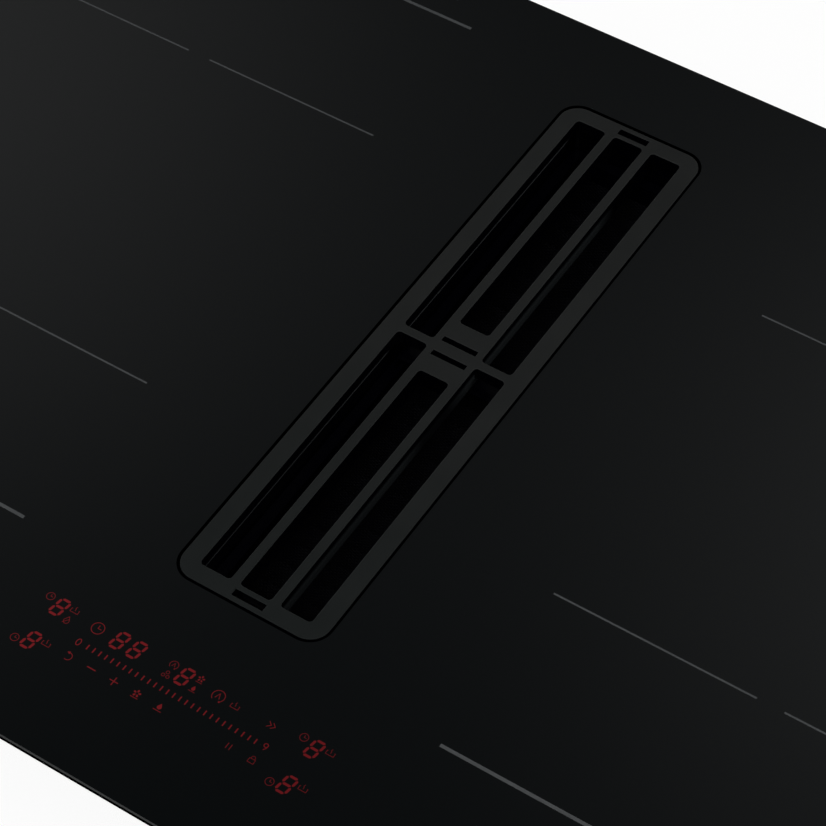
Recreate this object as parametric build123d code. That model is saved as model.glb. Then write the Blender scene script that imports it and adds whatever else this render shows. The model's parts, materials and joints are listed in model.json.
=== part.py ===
from build123d import *

import math
import os

# A downdraft induction cooktop: a black glass top with a lift-out grille in the middle, four induction
# coils in pairs, and an extractor that draws steam down through a grease filter and blows it out at the
# back. All sizes are in millimetres. The origin is the centre of the worktop cut-out, in the worktop's top
# surface. +X points right, +Y to the back and +Z up.

# ---------------------------------------------------------------- sizes: glass and rim
GLASS_WIDTH = 830.0
GLASS_DEPTH = 515.0
GLASS_THICKNESS = 4.0
GLASS_CORNER_RADIUS = 5.0
TOP_CHAMFER = 0.6
OPENING_ARRIS = 0.2        # round the opening, on the top
LOWER_ARRIS = 1.0
RIM_SIDE = 25.0            # glass that lies on the worktop, left and right
RIM_END = 12.5             # the same at the front and the back
GASKET_THICKNESS = 1.0
GASKET_WIDTH = 8.0
GASKET_INSET = 2.0
CUTOUT_CLEARANCE = 4.0     # between the cut-out and the frame, on every side

# ---------------------------------------------------------------- sizes: grille
GRILLE_WIDTH = 79.0
GRILLE_BACK_MARGIN = 24.1  # from the frame's flange to the grille
GRILLE_FRONT_MARGIN = 27.5  # from the touch panel to the grille
GRILLE_CORNER_RADIUS = 10.4
GRILLE_SIDE_GAP = 1.25
GRILLE_END_GAP = 1.45
GRILLE_RISE = 0.2          # above the glass
GRILLE_DEPTH = 7.7
SIDE_FRAME = 9.4
END_FRAME = 9.1
BAR_WIDTH = 5.0
BAR_DEPTH = 11.7
END_RIB = 1.9              # how far the deep centre runs under the end frames
CROSS_BAR = 4.8
HUB_LENGTH = 34.9
HUB_VENT_LENGTH = 19.0
HUB_VENT_WIDTH = 3.0
HUB_VENT_PITCH = 10.0
SLOT_RADIUS = 2.0
SLOT_CHAMFER = 0.5
NOTCH_LENGTH = 3.7
NOTCH_EDGE = 2.7           # metal left outside the end notch
FOOT_HEIGHT = 1.5
FOOT_WIDTH = 4.0
FOOT_LENGTH = 14.0
FOOT_SPREAD = 120.0        # side feet, from the grille's centre

# ---------------------------------------------------------------- sizes: suction well, filter and tray
WELL_WALL = 2.0
WELL_FLANGE = 12.0
COLLAR_SETBACK = 0.5       # the collar's wall stands this far outside the glass edge
GRILLE_LEDGE_INSET = 7.75
FILTER_LEDGE_INSET = 11.75
FILTER_LEDGE_DROP = 16.0   # from the grille ledge to the filter ledge
WELL_SPIGOT = 13.0         # the well's length below the case
SMALLEST_RADIUS = 2.0
FILTER_RIM_CLEARANCE = 1.0
FILTER_RIM = 2.0
FILTER_BODY_CLEARANCE = 1.5
FILTER_HEIGHT = 44.0
FILTER_SHEET = 1.0
FILTER_LIP = 4.0
PLEAT_COUNT = 26
PLEAT_HEIGHT = 36.0
PLEAT_THICKNESS = 5.0      # measured upright
PLEAT_GAP = 0.8
HANDLE_WIDTH = 14.0
HANDLE_HEIGHT = 9.0
HANDLE_STRIP = 1.5
TRAY_CLEARANCE = 4.0       # to the well's narrowest stretch
TRAY_HEIGHT = 16.0
TRAY_SHEET = 1.2
TRAY_TAB_WIDTH = 18.0
TRAY_TAB_HEIGHT = 8.0
TRAY_RIB_HEIGHT = 5.0
TRAY_RIB_WIDTH = 6.0
TRAY_RIB_SPREAD = 110.0

# ---------------------------------------------------------------- sizes: frame and case
FRAME_SHEET = 1.0
FRAME_FLANGE = 14.0
FRAME_SKIRT = 12.0
CASE_HEIGHT = 47.0
CASE_SHEET = 1.0
CASE_SLOPE_START = 17.0    # the front wall slopes back below this depth
CASE_SLOPE_RUN = 20.0
CASE_SCREW_DROP = 7.0
VENT_LENGTH = 64.0
VENT_WIDTH = 4.0
VENT_PITCH = 8.0
VENT_COUNT = 9
EXHAUST_LENGTH = 22.0
EXHAUST_COUNT = 12
BEAD_LENGTH = 170.0        # stiffening beads pressed up into the floor
BEAD_WIDTH = 12.0
BEAD_RISE = 2.0
BEAD_PITCH = 80.0          # two beads under each board

# ---------------------------------------------------------------- sizes: coils
ZONE_INNER_MARGIN = 71.05   # from the glass opening to the pair of coils
ZONE_OUTER_MARGIN = 42.8   # from the pair of coils to the frame's flange
ZONE_BACK_MARGIN = 5.35
ZONE_FRONT_MARGIN = 14.35  # from the touch panel to the pair of coils
COIL_SIDE_MARGIN = 8.7     # mica and carrier beside a coil
COIL_END_MARGIN = 3.65
COIL_GAP = 14.0            # between the two coils of a pair
COIL_THICKNESS = 5.5
COIL_CORNER = 70.0
COIL_SPLIT_WIDTH = 30.0    # radial width of the outer winding
COIL_SPLIT_GAP = 6.0
COIL_HOLE_WIDTH = 60.0
COIL_HOLE_LENGTH = 40.0
COIL_HOLE_CORNER = 18.0
MICA_THICKNESS = 0.5
MICA_HOLE_RADIUS = 9.0
FERRITE_THICKNESS = 4.0
FERRITE_WIDTH = 14.0
FERRITE_START = 24.0
FERRITE_END = 84.0
FERRITE_COUNT = 8
CARRIER_THICKNESS = 1.5
CARRIER_CORNER = 10.0
CARRIER_HOLE_RADIUS = 7.0
SENSOR_BASE_RADIUS = 14.0
SENSOR_BASE_HEIGHT = 2.0
SENSOR_RADIUS = 6.0
POST_RADIUS = 5.0
POST_INSET = 11.0

# ---------------------------------------------------------------- sizes: electronics
BOARD_WIDTH = 170.0
BOARD_FAN_GAP = 22.0       # from the cooling fan to the board
BOARD_BACK_MARGIN = 53.0   # from the board to the back of the case
BOARD_THICKNESS = 1.6
BOARD_LIFT = 8.0
BOARD_POST_RADIUS = 3.0
BOARD_POST_INSET = 7.0
SINK_WIDTH = 44.0
SINK_LENGTH = 190.0
SINK_BASE = 4.0
SINK_HEIGHT = 22.0
SINK_FINS = 8
SINK_FIN = 1.6
SINK_OFFSET = 50.0         # from the zone's centre line, outwards
CAPACITOR_RADIUS = 11.0
CAPACITOR_HEIGHT = 20.0
CAPACITOR_PITCH = 30.0
CHOKE_RADIUS = 14.0
CHOKE_HOLE_RADIUS = 6.0
CHOKE_HEIGHT = 11.0
CHOKE_PITCH = 40.0
PARTS_PER_ROW = 4
CAPACITOR_OFFSET = -58.0   # from the zone's centre line, outwards
CHOKE_OFFSET = -12.0
FAN_SIZE = 80.0
FAN_HEIGHT = 20.0
FAN_CORNER = 6.0
FAN_SETBACK = 115.0        # from the front of the case to the fan's centre
FAN_BORE_RADIUS = 37.0
FAN_TIP_GAP = 1.5
FAN_HUB_RADIUS = 16.0
FAN_HUB_HEIGHT = 13.0
FAN_PIN_RADIUS = 1.5
FAN_STRUT_WIDTH = 4.0
FAN_STRUT_HEIGHT = 3.0
FAN_BLADES = 7
FAN_BLADE_CHORD = 17.0
FAN_BLADE_THICKNESS = 1.4
FAN_BLADE_PITCH = 35.0
RUNNING_CLEARANCE = 0.05
SEAT_CLEARANCE = 0.3

# ---------------------------------------------------------------- sizes: touch panel and mains inlet
PANEL_WIDTH = 190.0
PANEL_LENGTH = 50.0
PANEL_MARGIN = 3.0         # from the frame's flange to the panel
PANEL_TRAY_WALL = 2.0
PANEL_TRAY_HEIGHT = 11.0
LIGHT_GUIDE_THICKNESS = 4.0
DIGIT_WINDOW_WIDTH = 12.0
DIGIT_WINDOW_LENGTH = 14.0
DIGIT_MODULE_GAP = 0.5
DIGIT_SPREAD_X = 68.0      # zone digits, left and right of the middle
DIGIT_BACK_SHIFT = 8.5     # from the panel's centre line
DIGIT_FRONT_SHIFT = -12.5
TIMER_X = -30.3            # the timer has two digits side by side
TIMER_WINDOW_WIDTH = 20.0
TERMINAL_SIDE_MARGIN = 32.0  # from the side of the case to the block's middle
TERMINAL_BACK_MARGIN = 42.0
TERMINAL_WIDTH = 52.0
TERMINAL_DEPTH = 34.0
TERMINAL_HEIGHT = 18.0
TERMINAL_POLES = 5
TERMINAL_WELL_RADIUS = 2.6
TERMINAL_WELL_DEPTH = 9.0
COVER_MARGIN = 5.0
COVER_HEIGHT = 24.0
COVER_SHEET = 1.5
CABLE_HOLE_RADIUS = 6.5
GROMMET_WALL = 2.0
GROMMET_LIP = 2.0

# ---------------------------------------------------------------- sizes: blower
BLOWER_X = 140.0
BLOWER_Y = 36.0
PLENUM_WALL = 2.5
PLENUM_HEIGHT = 60.0
PLENUM_FLANGE = 8.0
PLENUM_CLEARANCE = 9.0     # from the well's narrow stretch to the trough's wall
CLIP_WIDTH = 12.0
CLIP_HEIGHT = 14.0         # up the plenum's wall
CLIP_THICKNESS = 2.0
CLIP_HOOK = 1.5            # how far and how thick it reaches under the deck
CLIP_SPREAD = 117.4        # between the clips along the trough
CHAMBER_RADIUS = 100.0
DECK_THICKNESS = 3.0
IMPELLER_RADIUS = 90.0
IMPELLER_WALL = 2.0
BLADE_ROOT_RADIUS = 73.0
BLADE_SWEEP = 7.0          # degrees from root to tip
BLADE_BULGE = 4.0          # degrees by which the middle lags
BLADE_THICKNESS = 1.4
BLADE_COUNT = 36
TONGUE_GAP = 10.0
TONGUE_ANGLE = 55.0
TONGUE_RADIUS = 5.0
SCROLL_STEP = 24.0         # by which each quarter's radius grows
SCROLL_WALL = 2.5
SCROLL_SEAM = 1.2          # how far the moulding seam stands out
SCROLL_SEAM_WIDTH = 4.0
MOTOR_SEAT_RADIUS = 34.0
MOTOR_SCREW_CIRCLE = 22.0
MOTOR_SCREWS = 3
SCREW_POCKET = 3.0
SCREW_POCKET_RADIUS = 4.4
FOOT_RING_RADIUS = 80.0
FOOT_RING_WIDTH = 5.0
BASE_RIBS = 9
BASE_RIB_WIDTH = 2.5
THROAT_RUN = 100.0         # from the blower's centre to the duct flange
INLET_RADIUS = 62.0
INLET_LIP = 7.0
INLET_ROUND = 2.4
SHROUD_GAP = 5.0
BACK_PLATE_GAP = 6.0
OUTLET_WIDTH = 222.0
OUTLET_HEIGHT = 89.0
OUTLET_CORNER = 44.0
OUTLET_WALL = 2.5
OUTLET_LENGTH = 26.0
OUTLET_SETBACK = 2.0       # from the back of the case to the spigot's end
STOP_COLLAR = 3.0          # height and width of the collar that stops the mating duct
DUCT_FLANGE = 5.0
DUCT_FLANGE_THICKNESS = 4.0
THROAT_CORNER = 3.0

# ---------------------------------------------------------------- sizes: motor
SHAFT_RADIUS = 4.0
BEARING_RADIUS = 11.0
BEARING_WIDTH = 7.0
STATOR_RADIUS = 27.0
STATOR_HEIGHT = 24.0
STATOR_BASE_RADIUS = 30.0
STATOR_BASE_HEIGHT = 5.0
STATOR_SLOTS = 9
STATOR_SLOT_WIDTH = 5.0
STATOR_SLOT_DEPTH = 6.0
AIR_GAP = 0.8
ROTOR_WALL = 2.5
PRESS_GAP = 0.02

# ---------------------------------------------------------------- sizes: overflow cup
CUP_X = -8.0
CUP_Y = -80.0
CUP_RADIUS = 44.0
CUP_WALL = 2.0
CUP_HEIGHT = 72.0
CUP_FLOOR_RADIUS = 8.0
CUP_GRIPS = 12
CUP_GRIP_RADIUS = 3.0
CUP_GRIP_HEIGHT = 50.0
CUP_GAP = 0.5
CUP_SEAL = 1.5
SOCKET_WALL = 3.0
SOCKET_HEIGHT = 12.0
DRAIN_RADIUS = 12.0
DRAIN_WALL = 2.0
DRAIN_LENGTH = 8.0

# ---------------------------------------------------------------- sizes: clamps and screws
CLAMP_END_MARGIN = 90.0    # from the case's front or back to a pivot
CLAMP_EDGE = 14.0          # pivot, from the side of the frame
CLAMP_LENGTH = 46.0
CLAMP_WIDTH = 16.0
CLAMP_SHEET = 2.5
CLAMP_DROP = 12.0          # from the case to the arm
PIVOT_RADIUS = 3.0
PIVOT_HEAD_RADIUS = 6.0
PIVOT_HEAD = 2.5
PIVOT_SHOULDER_RADIUS = 6.0
BOLT_RADIUS = 2.0
BOLT_HEAD_RADIUS = 4.0
BOLT_HEAD = 3.0
BOLT_PAD_RADIUS = 5.0
BOLT_PAD = 2.5
BOLT_GAP = 2.0             # between the stowed bolt's pad and the case
SCREW_RADIUS = 1.9
SCREW_HOLE_RADIUS = 1.95
SCREW_HEAD_RADIUS = 3.6
SCREW_HEAD = 2.2
SCREW_LENGTH = 7.0

# ---------------------------------------------------------------- places worked out from the sizes
GLASS_BOTTOM = GASKET_THICKNESS
GLASS_TOP = GLASS_BOTTOM + GLASS_THICKNESS
CUTOUT_WIDTH = GLASS_WIDTH - 2 * RIM_SIDE
CUTOUT_DEPTH = GLASS_DEPTH - 2 * RIM_END
FRAME_WIDTH = CUTOUT_WIDTH - 2 * CUTOUT_CLEARANCE
FRAME_DEPTH = CUTOUT_DEPTH - 2 * CUTOUT_CLEARANCE
CASE_WIDTH = FRAME_WIDTH - 2 * FRAME_SHEET
CASE_DEPTH = FRAME_DEPTH - 2 * FRAME_SHEET
CASE_TOP = GLASS_BOTTOM - FRAME_SHEET
CASE_BOTTOM = -CASE_HEIGHT
CASE_FLOOR = CASE_BOTTOM + CASE_SHEET

FRAME_INNER_X = FRAME_WIDTH / 2 - FRAME_FLANGE
FRAME_INNER_Y = FRAME_DEPTH / 2 - FRAME_FLANGE
PANEL_CENTRE_Y = PANEL_MARGIN + PANEL_LENGTH / 2 - FRAME_INNER_Y
PANEL_BACK_Y = PANEL_CENTRE_Y + PANEL_LENGTH / 2
GRILLE_BACK_Y = FRAME_INNER_Y - GRILLE_BACK_MARGIN
GRILLE_FRONT_Y = PANEL_BACK_Y + GRILLE_FRONT_MARGIN
GRILLE_LENGTH = GRILLE_BACK_Y - GRILLE_FRONT_Y
GRILLE_CENTRE_Y = (GRILLE_BACK_Y + GRILLE_FRONT_Y) / 2
OPENING_WIDTH = GRILLE_WIDTH + 2 * GRILLE_SIDE_GAP
OPENING_LENGTH = GRILLE_LENGTH + 2 * GRILLE_END_GAP
OPENING_RADIUS = GRILLE_CORNER_RADIUS + GRILLE_SIDE_GAP
GRILLE_TOP = GLASS_TOP + GRILLE_RISE
GRILLE_BOTTOM = GRILLE_TOP - GRILLE_DEPTH
BAR_BOTTOM = GRILLE_TOP - BAR_DEPTH
WINDOW_WIDTH = GRILLE_WIDTH - 2 * SIDE_FRAME
WINDOW_LENGTH = GRILLE_LENGTH - 2 * END_FRAME
SLOT_WIDTH = (WINDOW_WIDTH - 2 * BAR_WIDTH) / 3
GRILLE_LEDGE = GRILLE_BOTTOM - FOOT_HEIGHT
FILTER_LEDGE = GRILLE_LEDGE - FILTER_LEDGE_DROP
WELL_BOTTOM = CASE_BOTTOM - WELL_SPIGOT
WELL_TOP = GLASS_BOTTOM - GASKET_THICKNESS
FILTER_BOTTOM = FILTER_LEDGE - FILTER_HEIGHT
FILTER_RIM_INSET = GRILLE_LEDGE_INSET + FILTER_RIM_CLEARANCE
FILTER_BODY_INSET = FILTER_LEDGE_INSET + FILTER_BODY_CLEARANCE
TRAY_INSET = FILTER_LEDGE_INSET + TRAY_CLEARANCE

ZONE_INNER_X = OPENING_WIDTH / 2 + ZONE_INNER_MARGIN
ZONE_OUTER_X = FRAME_INNER_X - ZONE_OUTER_MARGIN
ZONE_FRONT_Y = PANEL_BACK_Y + ZONE_FRONT_MARGIN
ZONE_BACK_Y = FRAME_INNER_Y - ZONE_BACK_MARGIN
ZONE_CENTRE_X = (ZONE_INNER_X + ZONE_OUTER_X) / 2
ZONE_CENTRE_Y = (ZONE_FRONT_Y + ZONE_BACK_Y) / 2
ZONE_WIDTH = ZONE_OUTER_X - ZONE_INNER_X
ZONE_LENGTH = ZONE_BACK_Y - ZONE_FRONT_Y
COIL_WIDTH = ZONE_WIDTH - 2 * COIL_SIDE_MARGIN
COIL_LENGTH = (ZONE_LENGTH - 2 * COIL_END_MARGIN - COIL_GAP) / 2
COIL_PITCH = COIL_LENGTH + COIL_GAP
COIL_TOP = GLASS_BOTTOM - MICA_THICKNESS
COIL_BOTTOM = COIL_TOP - COIL_THICKNESS
FERRITE_BOTTOM = COIL_BOTTOM - FERRITE_THICKNESS
CARRIER_BOTTOM = FERRITE_BOTTOM - CARRIER_THICKNESS
FAN_CENTRE_Y = FAN_SETBACK - CASE_DEPTH / 2
BOARD_FRONT_Y = FAN_CENTRE_Y + FAN_SIZE / 2 + BOARD_FAN_GAP
BOARD_BACK_Y = CASE_DEPTH / 2 - BOARD_BACK_MARGIN
BOARD_LENGTH = BOARD_BACK_Y - BOARD_FRONT_Y
BOARD_CENTRE_Y = (BOARD_FRONT_Y + BOARD_BACK_Y) / 2
BOARD_BOTTOM = CASE_FLOOR + BOARD_LIFT
BOARD_TOP = BOARD_BOTTOM + BOARD_THICKNESS
PANEL_TRAY_BOTTOM = GLASS_BOTTOM - PANEL_TRAY_HEIGHT
LIGHT_GUIDE_BOTTOM = GLASS_BOTTOM - LIGHT_GUIDE_THICKNESS
CONTROL_BOARD_BOTTOM = LIGHT_GUIDE_BOTTOM - BOARD_THICKNESS

DIGIT_BACK_Y = PANEL_CENTRE_Y + DIGIT_BACK_SHIFT
DIGIT_FRONT_Y = PANEL_CENTRE_Y + DIGIT_FRONT_SHIFT
TERMINAL_X = TERMINAL_SIDE_MARGIN - CASE_WIDTH / 2
TERMINAL_Y = CASE_DEPTH / 2 - TERMINAL_BACK_MARGIN

PLENUM_FLOOR = CASE_BOTTOM - PLENUM_HEIGHT
DECK_BOTTOM = PLENUM_FLOOR - DECK_THICKNESS
SCROLL_CAVITY = OUTLET_HEIGHT - 2 * OUTLET_WALL
SCROLL_FLOOR = DECK_BOTTOM - SCROLL_CAVITY
SCROLL_BOTTOM = SCROLL_FLOOR - SCROLL_WALL
BASE_RIB_BOTTOM = SCROLL_BOTTOM - DUCT_FLANGE
TRAY_BOTTOM = PLENUM_FLOOR + TRAY_RIB_HEIGHT
TROUGH_INSET = FILTER_LEDGE_INSET - PLENUM_CLEARANCE
SCROLL_RADIUS = IMPELLER_RADIUS + TONGUE_GAP + SCROLL_STEP / 2
THROAT_Y = BLOWER_Y + THROAT_RUN
OUTLET_END_Y = CASE_DEPTH / 2 - OUTLET_SETBACK
SHROUD_TOP = DECK_BOTTOM - SHROUD_GAP
BACK_PLATE_BOTTOM = SCROLL_FLOOR + BACK_PLATE_GAP
STATOR_TOP = SCROLL_FLOOR + STATOR_BASE_HEIGHT + STATOR_HEIGHT
ROTOR_BOTTOM = SCROLL_FLOOR + STATOR_BASE_HEIGHT + AIR_GAP
ROTOR_INNER_RADIUS = STATOR_RADIUS + AIR_GAP
ROTOR_OUTER_RADIUS = ROTOR_INNER_RADIUS + ROTOR_WALL
ROTOR_TOP = STATOR_TOP + AIR_GAP + ROTOR_WALL
CUP_TOP = DECK_BOTTOM - CUP_SEAL
ARM_TOP = CASE_BOTTOM - CLAMP_DROP
ARM_BOTTOM = ARM_TOP - CLAMP_SHEET
SIDES = {"left": -1, "right": 1}


# ---------------------------------------------------------------- building blocks
def plate(width, depth, thickness, bottom, centre=(0.0, 0.0), radius=0.0):
    """A flat plate on the given level, with rounded corners where a radius is given."""
    outline = RectangleRounded(width, depth, radius) if radius > 0 else Rectangle(width, depth)
    return extrude(Pos(centre[0], centre[1], bottom) * outline, thickness)


def block(x_span, y_span, z_span):
    """A box between two corners."""
    size = [high - low for low, high in (x_span, y_span, z_span)]
    middle = [(low + high) / 2 for low, high in (x_span, y_span, z_span)]
    return Pos(*middle) * Box(*size)


def disc(radius, thickness, bottom, centre=(0.0, 0.0)):
    """An upright cylinder that stands on the given level."""
    return extrude(Pos(centre[0], centre[1], bottom) * Circle(radius), thickness)


def tube(outer, inner, thickness, bottom, centre=(0.0, 0.0)):
    """An upright tube that stands on the given level."""
    return disc(outer, thickness, bottom, centre) - disc(inner, thickness, bottom, centre)


def prism(sketch, thickness, bottom):
    """A flat outline drawn at the origin, raised from the given level."""
    return extrude(Pos(0, 0, bottom) * sketch, thickness)


def opening_plate(inset, thickness, bottom):
    """A plate with the outline of the glass opening, drawn in by the inset on every side."""
    radius = max(OPENING_RADIUS - inset, SMALLEST_RADIUS)
    width = OPENING_WIDTH - 2 * inset
    length = OPENING_LENGTH - 2 * inset
    return plate(width, length, thickness, bottom, (0, GRILLE_CENTRE_Y), radius)


def turned(solid, centre, degrees):
    """The solid, turned about an upright axis through the centre."""
    return Pos(centre[0], centre[1], 0) * Rot(0, 0, degrees) * Pos(-centre[0], -centre[1], 0) * solid


def group(solids):
    """Several separate solids that share one node."""
    return Compound([one for solid in solids for one in solid.solids()])


def polar(radius, degrees):
    """A point at the radius and angle about the origin."""
    angle = math.radians(degrees)
    return radius * math.cos(angle), radius * math.sin(angle)


def evenly(count, pitch):
    """Places of a row of things about its middle."""
    return [(number - (count - 1) / 2) * pitch for number in range(count)]


# ---------------------------------------------------------------- glass, rim and frame
def make_glass_top():
    """The glass-ceramic plate with its ground edges and the opening for the grille."""
    glass = plate(GLASS_WIDTH, GLASS_DEPTH, GLASS_THICKNESS, GLASS_BOTTOM, radius=GLASS_CORNER_RADIUS)
    glass -= opening_plate(0, GLASS_THICKNESS, GLASS_BOTTOM)
    glass = chamfer(glass.faces().sort_by(Axis.Z)[-1].outer_wire().edges(), TOP_CHAMFER)
    glass = chamfer(glass.faces().sort_by(Axis.Z)[-1].inner_wires()[0].edges(), OPENING_ARRIS)
    return chamfer(glass.faces().sort_by(Axis.Z)[0].outer_wire().edges(), LOWER_ARRIS)


def make_rim_gasket():
    """The sealing tape between the glass and the worktop."""
    width = GLASS_WIDTH - 2 * GASKET_INSET
    depth = GLASS_DEPTH - 2 * GASKET_INSET
    tape = plate(width, depth, GASKET_THICKNESS, 0, radius=GLASS_CORNER_RADIUS)
    return tape - plate(width - 2 * GASKET_WIDTH, depth - 2 * GASKET_WIDTH, GASKET_THICKNESS, 0)


def case_screw_places():
    """Screws through the frame's skirt: a point on the skirt and the way its head faces."""
    places = []
    for x in evenly(4, FRAME_WIDTH / 4):
        places.append(((x, -FRAME_DEPTH / 2), (0, -1, 0)))
        places.append(((x, FRAME_DEPTH / 2), (0, 1, 0)))
    for y in evenly(2, FRAME_DEPTH / 2):
        places.append(((-FRAME_WIDTH / 2, y), (-1, 0, 0)))
        places.append(((FRAME_WIDTH / 2, y), (1, 0, 0)))
    return places


def side_pegs(radius, length, sink):
    """Level pegs at the case screws, from the skirt's face inwards by sink and outwards by the rest."""
    pegs = []
    for (x, y), facing in case_screw_places():
        plane = Plane(origin=(x, y, CASE_TOP - CASE_SCREW_DROP), z_dir=facing)
        pegs.append(extrude(plane.offset(-sink) * Circle(radius), length))
    return pegs


def make_glass_frame():
    """The folded steel frame that is bonded under the glass."""
    frame = plate(FRAME_WIDTH, FRAME_DEPTH, FRAME_SHEET, CASE_TOP)
    frame -= plate(FRAME_WIDTH - 2 * FRAME_FLANGE, FRAME_DEPTH - 2 * FRAME_FLANGE, FRAME_SHEET, CASE_TOP)
    skirt = plate(FRAME_WIDTH, FRAME_DEPTH, FRAME_SKIRT, CASE_TOP - FRAME_SKIRT)
    skirt -= plate(CASE_WIDTH, CASE_DEPTH, FRAME_SKIRT, CASE_TOP - FRAME_SKIRT)
    return frame + skirt - side_pegs(SCREW_HOLE_RADIUS, 4 * FRAME_SHEET, 2 * FRAME_SHEET)


# ---------------------------------------------------------------- grille
def grille_slots():
    """The six long slots: their spans in X and Y."""
    left, right = -WINDOW_WIDTH / 2, WINDOW_WIDTH / 2
    front = GRILLE_CENTRE_Y - WINDOW_LENGTH / 2
    back = GRILLE_CENTRE_Y + WINDOW_LENGTH / 2
    slots = []
    for x_span, bridge in (
        ((left, left + SLOT_WIDTH), CROSS_BAR),
        ((-SLOT_WIDTH / 2, SLOT_WIDTH / 2), HUB_LENGTH),
        ((right - SLOT_WIDTH, right), CROSS_BAR),
    ):
        slots.append((x_span, (front, GRILLE_CENTRE_Y - bridge / 2)))
        slots.append((x_span, (GRILLE_CENTRE_Y + bridge / 2, back)))
    return slots


def make_grille():
    """The cast grille: a shallow frame round deeper bars, with slots, hub vents and end notches."""
    centre = (0, GRILLE_CENTRE_Y)
    body = plate(GRILLE_WIDTH, GRILLE_LENGTH, GRILLE_DEPTH, GRILLE_BOTTOM, centre, GRILLE_CORNER_RADIUS)
    deep_width = SLOT_WIDTH + 2 * BAR_WIDTH
    body += plate(deep_width, WINDOW_LENGTH + 2 * END_RIB, BAR_DEPTH, BAR_BOTTOM, centre)
    for (left, right), (front, back) in grille_slots():
        middle = ((left + right) / 2, (front + back) / 2)
        body -= plate(right - left, back - front, BAR_DEPTH, BAR_BOTTOM, middle, SLOT_RADIUS)
    for shift in evenly(2, HUB_VENT_PITCH):
        vent = (0, GRILLE_CENTRE_Y + shift)
        body -= plate(HUB_VENT_LENGTH, HUB_VENT_WIDTH, BAR_DEPTH, BAR_BOTTOM, vent)
    for side in (-1, 1):
        reach = GRILLE_LENGTH / 2 - NOTCH_EDGE - NOTCH_LENGTH / 2
        notch = (0, GRILLE_CENTRE_Y + side * reach)
        body -= plate(SLOT_WIDTH, NOTCH_LENGTH, GRILLE_DEPTH, GRILLE_BOTTOM, notch)
    return chamfer(body.faces().sort_by(Axis.Z)[-1].edges(), SLOT_CHAMFER)


def make_grille_feet():
    """The silicone pads on which the grille stands."""
    side_x = (OPENING_WIDTH / 2 - GRILLE_LEDGE_INSET + GRILLE_WIDTH / 2) / 2
    end_y = (OPENING_LENGTH / 2 - GRILLE_LEDGE_INSET + GRILLE_LENGTH / 2) / 2
    feet = []
    for side in (-1, 1):
        for along in (-FOOT_SPREAD, FOOT_SPREAD):
            place = (side * side_x, GRILLE_CENTRE_Y + along)
            feet.append(plate(FOOT_WIDTH, FOOT_LENGTH, FOOT_HEIGHT, GRILLE_LEDGE, place))
        place = (0, GRILLE_CENTRE_Y + side * end_y)
        feet.append(plate(FOOT_LENGTH, FOOT_WIDTH, FOOT_HEIGHT, GRILLE_LEDGE, place))
    return group(feet)


# ---------------------------------------------------------------- suction well, filter and drip tray
def make_well_seal():
    """The silicone bead between the glass and the well's flange."""
    seal = opening_plate(-WELL_FLANGE + WELL_WALL, GASKET_THICKNESS, WELL_TOP)
    return seal - opening_plate(-COLLAR_SETBACK - WELL_WALL, GASKET_THICKNESS, WELL_TOP)


def make_suction_well():
    """The moulded well: a flange under the glass, then three narrowing stretches that leave two ledges."""
    stretches = (
        (-COLLAR_SETBACK, WELL_TOP, GRILLE_LEDGE),
        (GRILLE_LEDGE_INSET, GRILLE_LEDGE, FILTER_LEDGE),
        (FILTER_LEDGE_INSET, FILTER_LEDGE, WELL_BOTTOM),
    )
    well = opening_plate(-WELL_FLANGE, WELL_WALL, WELL_TOP - WELL_WALL)
    for inset, top, bottom in stretches:
        base = max(bottom - WELL_WALL, WELL_BOTTOM)
        well += opening_plate(inset - WELL_WALL, top - base, base)
    for inset, top, bottom in stretches:
        well -= opening_plate(inset, top - bottom, bottom)
    return well


def make_filter_frame():
    """The folded steel cassette that holds the pleats: a rim, upright walls and a lip round the bottom."""
    frame = opening_plate(FILTER_RIM_INSET, FILTER_RIM, FILTER_LEDGE)
    frame += opening_plate(FILTER_BODY_INSET, FILTER_HEIGHT, FILTER_BOTTOM)
    inner = FILTER_BODY_INSET + FILTER_SHEET
    frame -= opening_plate(inner, FILTER_HEIGHT + FILTER_RIM, FILTER_BOTTOM + FILTER_SHEET)
    return frame - opening_plate(inner + FILTER_LIP, FILTER_SHEET, FILTER_BOTTOM)


def make_filter_pleats():
    """The pleated mesh, folded to and fro along the cassette."""
    inset = FILTER_BODY_INSET + FILTER_SHEET + PLEAT_GAP
    length = OPENING_LENGTH - 2 * inset
    width = OPENING_WIDTH - 2 * inset
    low = FILTER_BOTTOM + FILTER_SHEET
    high = low + PLEAT_HEIGHT
    start = GRILLE_CENTRE_Y - length / 2
    step = length / (2 * PLEAT_COUNT)
    fold = [(start + number * step, (low, high)[number % 2]) for number in range(2 * PLEAT_COUNT + 1)]
    under = [Vector(-width / 2, y, z) for y, z in fold]
    over = [Vector(-width / 2, y, z + PLEAT_THICKNESS) for y, z in reversed(fold)]
    return extrude(make_face(Polyline(*under, *over, close=True)), width, dir=(1, 0, 0))


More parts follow.
